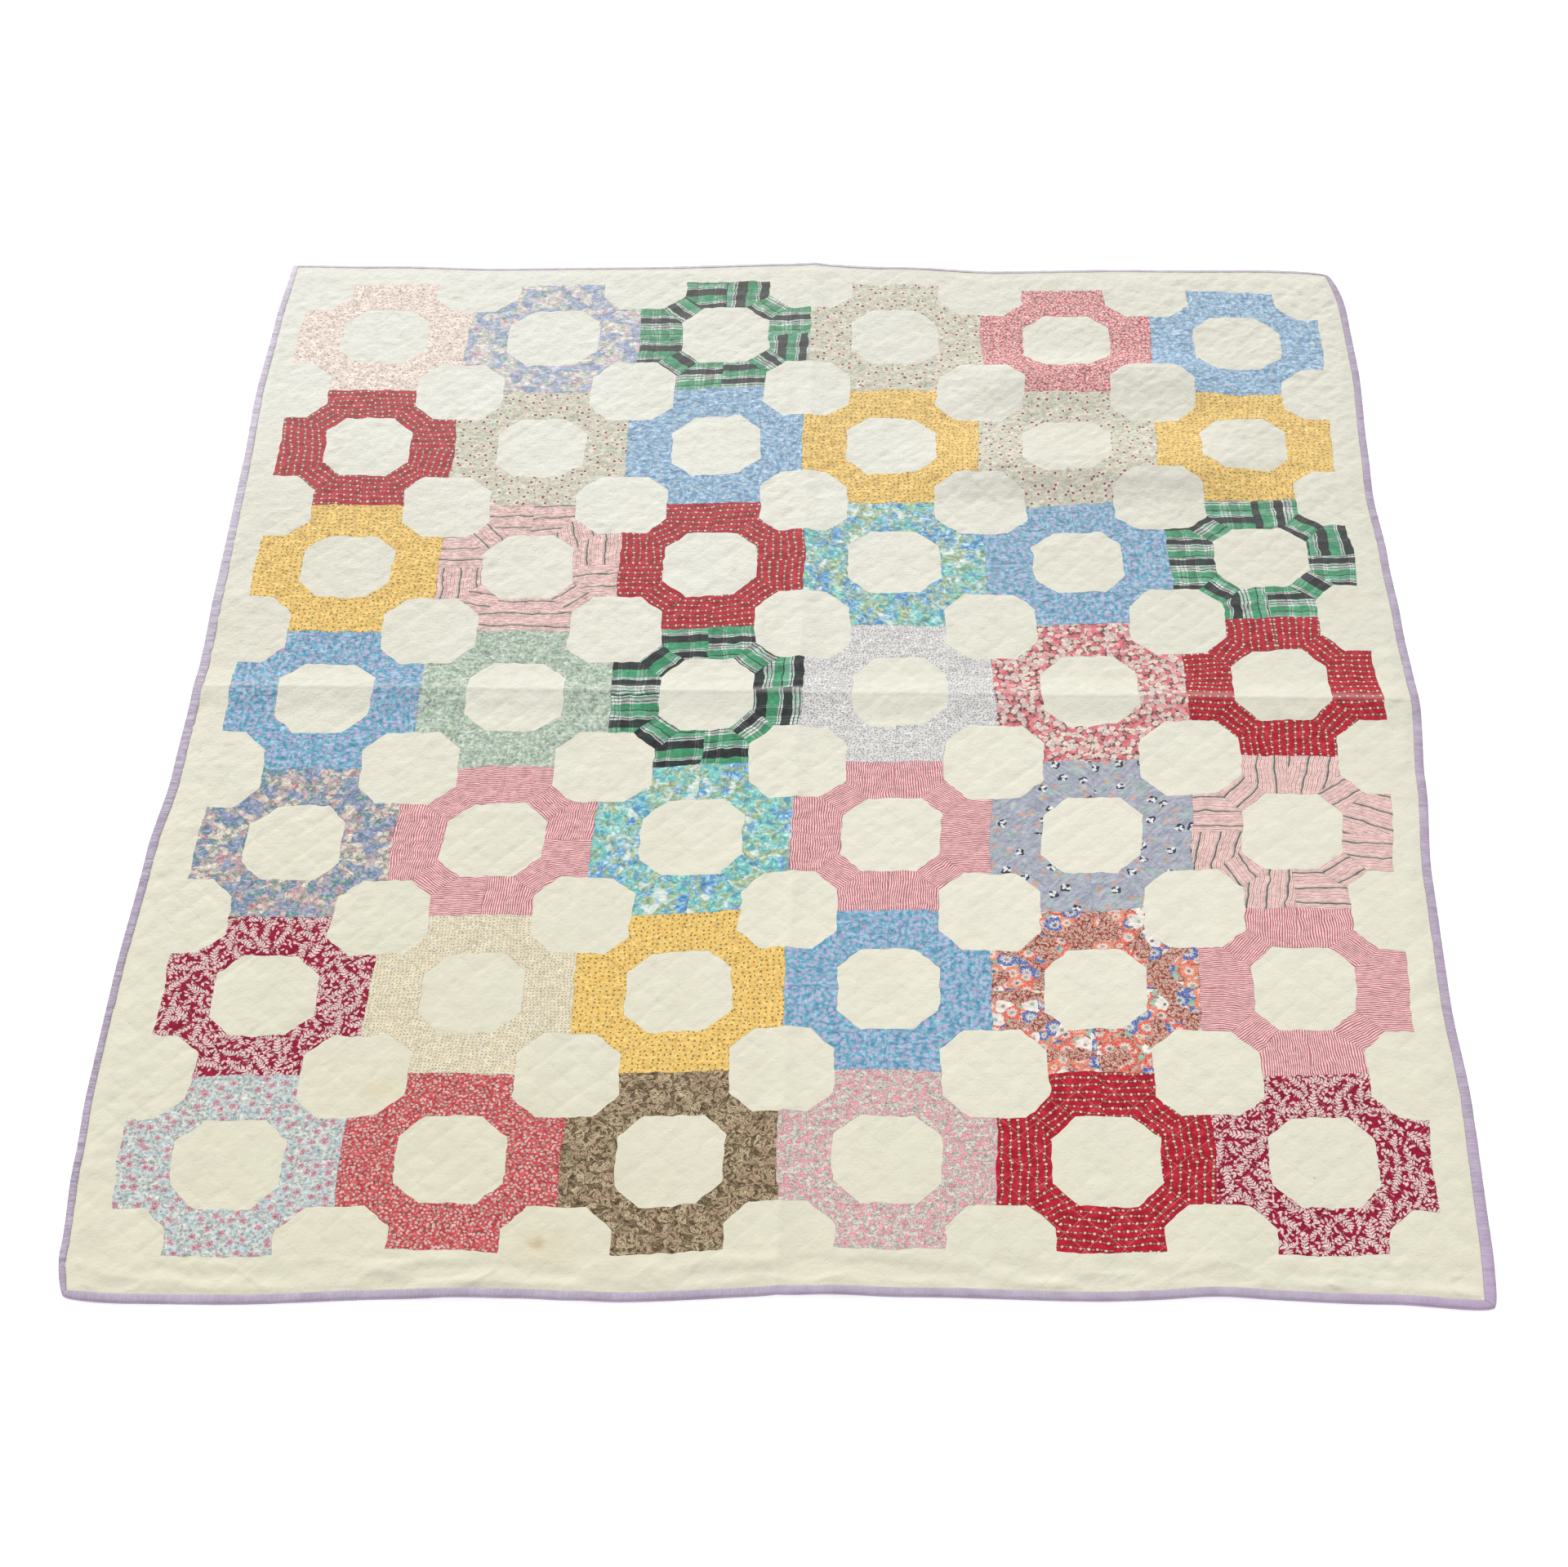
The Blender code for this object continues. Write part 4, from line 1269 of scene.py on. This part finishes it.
def blossom(bath, place):
    """Loose magenta blossoms and dark-rimmed seeds on a mottled grey green and blue."""
    grown = bath.wander(place, 6.0, 2.2)
    bath.ground(bath.mottle(grown, 6.0, 3.0), (0.32, "#98aca8"), (0.48, "#c2cec8"), (0.64, "#e6e8e0"))
    cloud = bath.under(bath.mottle(place, 20.0, 2.0, 44.0), 0.48, 0.10)
    bath.lay("#afc9d6", cloud * 0.5)
    tendril = bath.scatter(bath.wander(place, 7.0, 3.0), 6.5, 1.0, 19.0)
    bath.rings(tendril, "#efece2", radius=2.1, width=0.5, soft=0.5, share=0.6)
    bath.rings(bath.scatter(place, 8.5, 1.0, 83.0), "#7c7376", radius=1.4, width=0.55, soft=0.7, share=0.6)
    bath.dots(bath.scatter(grown, 15.0, 0.95, 29.0), "#b9788c", radius=1.7, soft=1.0, share=0.7)
    bloom = bath.scatter(grown, 21.0, 0.85)
    bath.flowers(bloom, "#e3cdd0", petals=5, radius=7.0, depth=0.30, soft=2.0, share=0.6)
    bath.flowers(bloom, "#b35f78", petals=5, radius=5.0, depth=0.40, soft=1.8, share=0.75)
    bath.flowers(bloom, "#dfa9b2", petals=4, radius=3.4, depth=0.45, soft=1.4, share=0.80)
    bath.dots(bloom, "#873650", radius=1.2, soft=1.0, share=0.85)


def pink_posy(bath, place):
    """Pairs of pink flowers on a warm grey, with thin dark stems."""
    bath.ground(bath.mottle(place, 5.0, 3.0), (0.3, "#b0a39a"), (0.5, "#ccc0b6"), (0.7, "#e6dcd3"))
    tendril = bath.scatter(bath.wander(place, 7.0, 3.0), 6.0, 1.0, 19.0)
    bath.rings(tendril, "#f3ede6", radius=2.1, width=0.45, soft=0.4, share=0.7)
    bath.dashes(bath.scatter(place, 6.0, 1.0, 47.0), "#7a736f", thin=0.22, width=0.45, soft=0.5, share=0.75)
    for move in (0.0, 66.0):
        bloom = bath.scatter(place, 15.0, 0.85, move)
        bath.flowers(bloom, "#de8091", petals=5, radius=4.0, depth=0.25, soft=1.4, share=0.82)
        bath.flowers(bloom, "#f6cccc", petals=5, radius=2.6, depth=0.30, soft=1.4, share=0.85)
        bath.dots(bloom, "#c9566c", radius=0.9, soft=0.8, share=0.7)


def paisley(bath, place):
    """Nested curls in tan and pink on brown."""
    curled = bath.wander(bath.wander(place, 15.0, 7.0), 6.0, 1.4, 40.0)
    bath.ground(bath.mottle(place, 8.0), (0.35, "#54442f"), (0.65, "#7c6a4f"))
    drop = bath.scatter(curled, 14.0, 0.95)
    bath.dots(drop, "#54482f", radius=4.4, soft=1.6, share=0.6)
    broken = bath.under(bath.mottle(curled, 6.0, 1.0, 12.0), 0.58, 0.1)
    for radius, width in ((1.6, 0.75), (4.2, 0.9), (6.6, 0.85)):
        line = bath.under(abs(drop.distance - radius), width, 0.8)
        dye = bath.pick(drop.tone, (0.0, "#d5c09d"), (0.5, "#c8ab8f"), (0.8, "#b9a783"))
        bath.lay(dye, line * broken * 0.94)
    vein = bath.scatter(curled, 6.5, 1.0, 28.0)
    bath.rings(vein, "#c2ab8c", radius=1.8, width=0.4, soft=0.5, share=0.55)
    bath.dots(vein, "#40361f", radius=0.9, share=0.75)


# The thread shows more on the two darkest reds, and the palest prints get less painted crinkle shade.
SHOWING = {dot_row: 0.5, sprig: 0.5}
CRINKLE_SHADING = {pink_fleck: 0.7, rosebud: 0.7, gold_fleck: 0.7, grey_fleck: 0.7, cream_fleck: 0.7}
FLECKS = (pink_fleck, sky_fleck, lilac_dot, gold_fleck, grey_fleck, cream_fleck)
CLOSE_PRINTS = (dot_row, berry, rose_curl, rosebud, meadow, deep_meadow, dahlia, sage_leaf, posy)
WOVEN_LOOKS = (ticking, mixed_stripe, plaid)
LARGE_PRINTS = (pansy, sprig, anemone, blossom, pink_posy, paisley)
for colouring in FLECKS + CLOSE_PRINTS + WOVEN_LOOKS + LARGE_PRINTS:
    sew_print(colouring, showing=SHOWING.get(colouring, 0.22), wear=CRINKLE_SHADING.get(colouring, 0.95))


# ---- The binding ----------------------------------------------------------------------------------
# A straight strip of lavender cotton to each side, folded round the edge over the wadding. It was eased
# on by hand, so it puckers crosswise, most of all along the left side, and is mitred at the corners.

BINDING_CELL = 0.0029
# The strip's section, round its outer face and back along its inner one. Columns: inset, height, ease:
# how much of the puckering reaches that line.
BINDING_SECTION = (
    (0.0140, 0.0003, 0.0),
    (0.0080, 0.0002, 0.0),
    (0.0030, 0.0003, 0.2),
    (0.0009, 0.0008, 0.5),
    (0.0001, 0.0018, 0.8),
    (0.0000, 0.0030, 1.0),
    (0.0004, 0.0042, 1.0),
    (0.0016, 0.0052, 1.0),
    (0.0040, 0.0058, 1.0),
    (0.0080, 0.0060, 1.0),
    (0.0120, 0.0058, 0.9),
    (0.0150, 0.0053, 0.6),
    (0.0162, 0.0045, 0.3),
    (0.0156, 0.0041, 0.2),
    (0.0120, 0.0046, 0.6),
    (0.0060, 0.0047, 0.8),
    (0.0026, 0.0040, 0.8),
    (0.0013, 0.0030, 0.8),
    (0.0017, 0.0018, 0.4),
    (0.0040, 0.0012, 0.1),
    (0.0090, 0.0011, 0.0),
    (0.0136, 0.0011, 0.0),
)


# How far round the section the outermost edge and the sewn inner edge are, in millimetres.
BINDING_EDGE = 15.6
BINDING_SEAM = 33.2

# The strips. Columns: the side, whether it runs across the quilt, which way it is from the middle, how
# deep it puckers, how high its crest is, the seed of its puckers, and how broad it is against its
# section at even steps from its left or near end.
Strip = namedtuple("Strip", "side crosswise way pucker crest seed breadths")
STRIPS = (
    Strip("near", True, -1, 0.00040, 0.0060, 51, (0.90, 0.88, 0.86, 0.88, 0.96)),
    Strip("far", True, 1, 0.00030, 0.0049, 54, (0.36, 0.38, 0.40, 0.40, 0.42)),
    Strip("left", False, -1, 0.00100, 0.0060, 57, (0.66, 0.68, 0.96, 1.02, 0.82, 0.72)),
    Strip("right", False, 1, 0.00070, 0.0060, 60, (1.06, 0.86, 0.84, 0.82, 0.76, 0.80)),
)


def strip_length(strip):
    """The length of the side that a strip is on."""
    return FLAT_WIDTH if strip.crosswise else FLAT_LENGTH


def strip_place(strip, run, inset, height):
    """Where a bit of a strip lies, from its place along the strip, in from the edge and in the thickness."""
    along = run - strip_length(strip) / 2
    if strip.crosswise:
        return lay(along, strip.way * (FLAT_LENGTH / 2 - inset), height)
    return lay(strip.way * (FLAT_WIDTH / 2 - inset), along, height)


def breadth_at(strip, share):
    """How broad a strip is at a share of its length, against its section."""
    return np.interp(share, np.linspace(0.0, 1.0, len(strip.breadths)), strip.breadths)


def meeting_breadths(strip):
    """How broad the strips are that this one meets at its two ends, for the mitres."""
    end = 0 if strip.way < 0 else -1
    return [other.breadths[end] for other in STRIPS if other.crosswise != strip.crosswise]


def lavender_cloth():
    bath = DyeBath("lavender_cotton")
    lying = bath.lying()
    sideways, up = bath.parts(lying)
    strip = bath.printed()
    _, round_edge = bath.parts(strip)
    bath.ground(bath.mottle(lying, 40.0, 3.0), (0.3, "#b2a4b8"), (0.7, "#c2b6c9"))
    # It is paler towards the far left, and a deeper lavender at the near right corner.
    from_light = bath.vectors("DISTANCE", lying, (-970.0, 1130.0, 0.0), output=1)
    bath.lay("#e6deea", bath.under(from_light, 950.0, 1300.0) * 0.85)
    from_corner = bath.vectors("DISTANCE", lying, (960.0, -1120.0, 0.0), output=1)
    bath.lay("#c3a8cc", bath.under(from_corner, 160.0, 240.0) * 0.5)
    # It puckers crosswise all the way. Painted shade darkens the hollows of the puckers and painted highlight
    # lightens their ridges, less on the near and far strips and on the right half.
    puckers = bath.mottle(strip, 18.0, 3.0, 0.0, 0.16)
    on_ends = bath.under(1090.0 - abs(up), 0.0, 30.0)
    shown = (1.0 - on_ends * 0.7) * (1.0 - bath.under(sideways * -1.0, 0.0, 100.0) * 0.45)
    bath.lay("#94879b", bath.under(puckers, 0.46, 0.10) * shown * 0.34)
    bath.lay("#e2dae6", bath.under(1 - puckers, 0.44, 0.10) * shown * 0.30)
    # Painted shade darkens its outermost edge and a thin line along its sewn edge, and painted light lifts
    # the far strip all along.
    outer = bath.under(abs(round_edge - BINDING_EDGE), 3.5, 5.0) * 0.14
    in_seam = bath.under(abs(round_edge - BINDING_SEAM), 0.7, 1.2) * 0.14
    bath.lay("#8f8394", outer + in_seam)
    bath.lay("#efe8f2", (up > 1080.0) * 0.55)
    height = bath.mottle(strip, 4.0, 3.0) * 0.5 + puckers * shown * 1.1 + bath.weave(strip, 0.6) * 0.03
    return bath.finished(bath.mottle(strip, 2.0) * 0.10 + 0.66, 0.26, height)


def make_binding(strip, material):
    """One side's strip, folded round the edge. Its ends are mitred to meet its neighbours."""
    name = "binding_" + strip.side
    insets, heights, eases = np.array(BINDING_SECTION).T
    heights = np.minimum(heights, strip.crest)
    round_section = np.concatenate([[0.0], np.cumsum(np.hypot(np.diff(insets), np.diff(heights)))])
    starts, stops = (insets * breadth for breadth in meeting_breadths(strip))
    length = strip_length(strip)
    stations = round(length / BINDING_CELL)
    share = np.linspace(0.0, 1.0, stations + 1)[:, None]
    breadth = breadth_at(strip, share)
    run = starts + share * (length - starts - stops)
    across = insets * breadth
    ribs = rumple(run, across, 0.0052, 0.030, strip.seed)
    ribs = ribs + 0.5 * rumple(run, across, 0.020, 0.030, strip.seed + 1)
    eased = strip.pucker * eases * ribs * smooth(np.minimum(run, length - run) / 0.030)
    sewn = rumple(run, np.zeros_like(run), 0.010, 1.0, strip.seed + 2)
    in_seam = strip.pucker * 0.45 * sewn * (across > 0.011 * breadth)
    rise = np.where(across < 0.0005, 0.0, eased)
    inset = across + in_seam - 0.15 * eased * (across < 0.002)
    points = strip_place(strip, run, inset, heights + 0.7 * rise)
    columns = len(insets)
    ring = np.arange(columns)
    first = (np.arange(stations)[:, None] * columns + ring).ravel()
    second = (np.arange(stations)[:, None] * columns + np.roll(ring, -1)).ravel()
    faces = np.stack([first, second, second + columns, first + columns], axis=-1).tolist()
    faces.append(list(range(columns))[::-1])
    faces.append(list(range(stations * columns, (stations + 1) * columns)))
    if strip.side in ("far", "left"):
        faces = [face[::-1] for face in faces]
    piece = make_piece("lavender_" + name, points.reshape(-1, 3), faces, material)
    for end in piece.data.polygons[-2:]:
        end.use_smooth = False
    cut = np.stack([run, np.broadcast_to(round_section, run.shape)], axis=-1).reshape(-1, 2)
    corners = np.zeros(len(piece.data.loops), dtype=np.int32)
    piece.data.loops.foreach_get("vertex_index", corners)
    layer = piece.data.uv_layers.new(name="cut")
    layer.data.foreach_set("uv", cut[corners].astype(np.float32).ravel())
    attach(piece, "root")
    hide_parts(name)
    return piece


lavender = lavender_cloth()
bindings = [make_binding(strip, lavender) for strip in STRIPS]

# Small slip stitches hold the inner fold down all the way round. Each one slants across the fold.
SLIP_SPACING = 0.0050
SLIP_INSET = 0.0164
SLIP_HEIGHT = 0.0047
SLIP_FROM_END = 0.022
SLIP_LENGTH = 0.0020
SLIP_THICKNESS = 0.00045


def stitch_maker(thread):
    """Geometry Nodes that set one short round stitch on every point they are given."""
    tree = bpy.data.node_groups.new("slip_stitch_maker", "GeometryNodeTree")
    tree.interface.new_socket("Geometry", in_out="OUTPUT", socket_type="NodeSocketGeometry")
    tree.interface.new_socket("Geometry", in_out="INPUT", socket_type="NodeSocketGeometry")
    for name in ("stitch_length", "stitch_thickness", "seam_turn"):
        tree.interface.new_socket(name, in_out="INPUT", socket_type="NodeSocketFloat")
    kinds = {
        "given": "NodeGroupInput",
        "bead": "GeometryNodeMeshUVSphere",
        "slant": "FunctionNodeRandomValue",
        "turn": "ShaderNodeMath",
        "lie": "ShaderNodeCombineXYZ",
        "size": "ShaderNodeCombineXYZ",
        "sew": "GeometryNodeInstanceOnPoints",
        "realize": "GeometryNodeRealizeInstances",
        "dye": "GeometryNodeSetMaterial",
        "made": "NodeGroupOutput",
    }
    nodes = {name: tree.nodes.new(kind) for name, kind in kinds.items()}
    nodes["bead"].inputs["Segments"].default_value = 6
    nodes["bead"].inputs["Rings"].default_value = 4
    nodes["bead"].inputs["Radius"].default_value = 0.5
    nodes["slant"].data_type = "FLOAT"
    nodes["slant"].inputs[2].default_value = 0.35
    nodes["slant"].inputs[3].default_value = 0.95
    nodes["slant"].inputs["Seed"].default_value = 71
    nodes["dye"].inputs["Material"].default_value = thread
    for source, output, target, entry in (
        ("given", "seam_turn", "turn", 0),
        ("slant", 1, "turn", 1),
        ("turn", 0, "lie", 2),
        ("given", "stitch_length", "size", 0),
        ("given", "stitch_thickness", "size", 1),
        ("given", "stitch_thickness", "size", 2),
        ("given", "Geometry", "sew", "Points"),
        ("bead", "Mesh", "sew", "Instance"),
        ("lie", 0, "sew", "Rotation"),
        ("size", 0, "sew", "Scale"),
        ("sew", 0, "realize", 0),
        ("realize", 0, "dye", 0),
        ("dye", 0, "made", 0),
    ):
        tree.links.new(nodes[source].outputs[output], nodes[target].inputs[entry])
    return tree


def slip_stitches(strip, maker):
    name = "slip_stitches_" + strip.side
    length = strip_length(strip)
    run = np.arange(SLIP_FROM_END, length - SLIP_FROM_END, SLIP_SPACING)
    seam = SLIP_INSET * breadth_at(strip, run / length)
    mesh = bpy.data.meshes.new(name)
    mesh.from_pydata(strip_place(strip, run, seam, np.full_like(run, SLIP_HEIGHT)).tolist(), [], [])
    piece = add_object(name, mesh)
    modifier = piece.modifiers.new("sewing", "NODES")
    modifier.node_group = maker
    sockets = maker.interface.items_tree
    inputs = {socket.name: socket.identifier for socket in sockets if socket.in_out == "INPUT"}
    modifier[inputs["stitch_length"]] = SLIP_LENGTH
    modifier[inputs["stitch_thickness"]] = SLIP_THICKNESS
    modifier[inputs["seam_turn"]] = math.pi / 2 if strip.crosswise else 0.0
    made = bpy.data.meshes.new_from_object(piece.evaluated_get(bpy.context.evaluated_depsgraph_get()))
    piece.modifiers.remove(modifier)
    piece.data = made
    made.shade_smooth()
    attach(piece, "root")
    return piece


def thread_cotton():
    bath = DyeBath("lavender_thread")
    bath.ground(bath.mottle(bath.lying(), 2.0), (0.3, "#b9aac0"), (0.7, "#d3c7d6"))
    return bath.finished(0.6)


slip_stitch_maker = stitch_maker(thread_cotton())
bindings += [slip_stitches(strip, slip_stitch_maker) for strip in STRIPS]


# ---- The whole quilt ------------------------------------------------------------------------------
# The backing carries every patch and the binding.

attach(backing, "root")
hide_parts("quilt_body")


# ---- The floor, the light and the camera ----------------------------------------------------------
# A plain white studio floor under soft light all round, and a window's light from the far left. The
# camera looks down from the near side.

def make_floor():
    corners = np.array([(-9.0, -9.0, 0.0), (9.0, -9.0, 0.0), (9.0, 9.0, 0.0), (-9.0, 9.0, 0.0)])
    bath = DyeBath("pale_floor")
    # A little light of its own keeps the studio floor white under the edges.
    bath.feed(bath.cloth.inputs["Emission Color"], (1.0, 1.0, 1.0, 1.0))
    bath.feed(bath.cloth.inputs["Emission Strength"], 0.45)
    floor = make_piece("floor", corners, [[0, 1, 2, 3]], bath.finished(0.9, 0.1))


def add_sun(name, strength, spread, away):
    """A soft far-off light. Away is the way to it."""
    light = bpy.data.lights.new(name, "SUN")
    light.energy = strength
    light.angle = math.radians(spread)
    tilt = math.atan2(math.hypot(away[0], away[1]), away[2])
    add_object(name, light).rotation_euler = (tilt, 0.0, math.atan2(away[0], -away[1]))


make_floor()
world = bpy.data.worlds.new("soft_room")
world.use_nodes = True
world.node_tree.nodes["Background"].inputs["Color"].default_value = (1.0, 1.0, 1.0, 1.0)
world.node_tree.nodes["Background"].inputs["Strength"].default_value = 0.60
bpy.context.scene.world = world
add_sun("window_light", 2.11, 35.0, (-0.35, 1.0, 0.72))
bpy.context.scene.view_settings.view_transform = "Standard"

camera_data = bpy.data.cameras.new("camera")
camera_data.lens = 70.61
camera_data.sensor_width = 36.0
camera = add_object("camera", camera_data)
camera.location = (0.2266, -3.4496, 3.4682)
camera.rotation_euler = tuple(math.radians(angle) for angle in (43.33, 2.22, 1.73))
bpy.context.scene.camera = camera
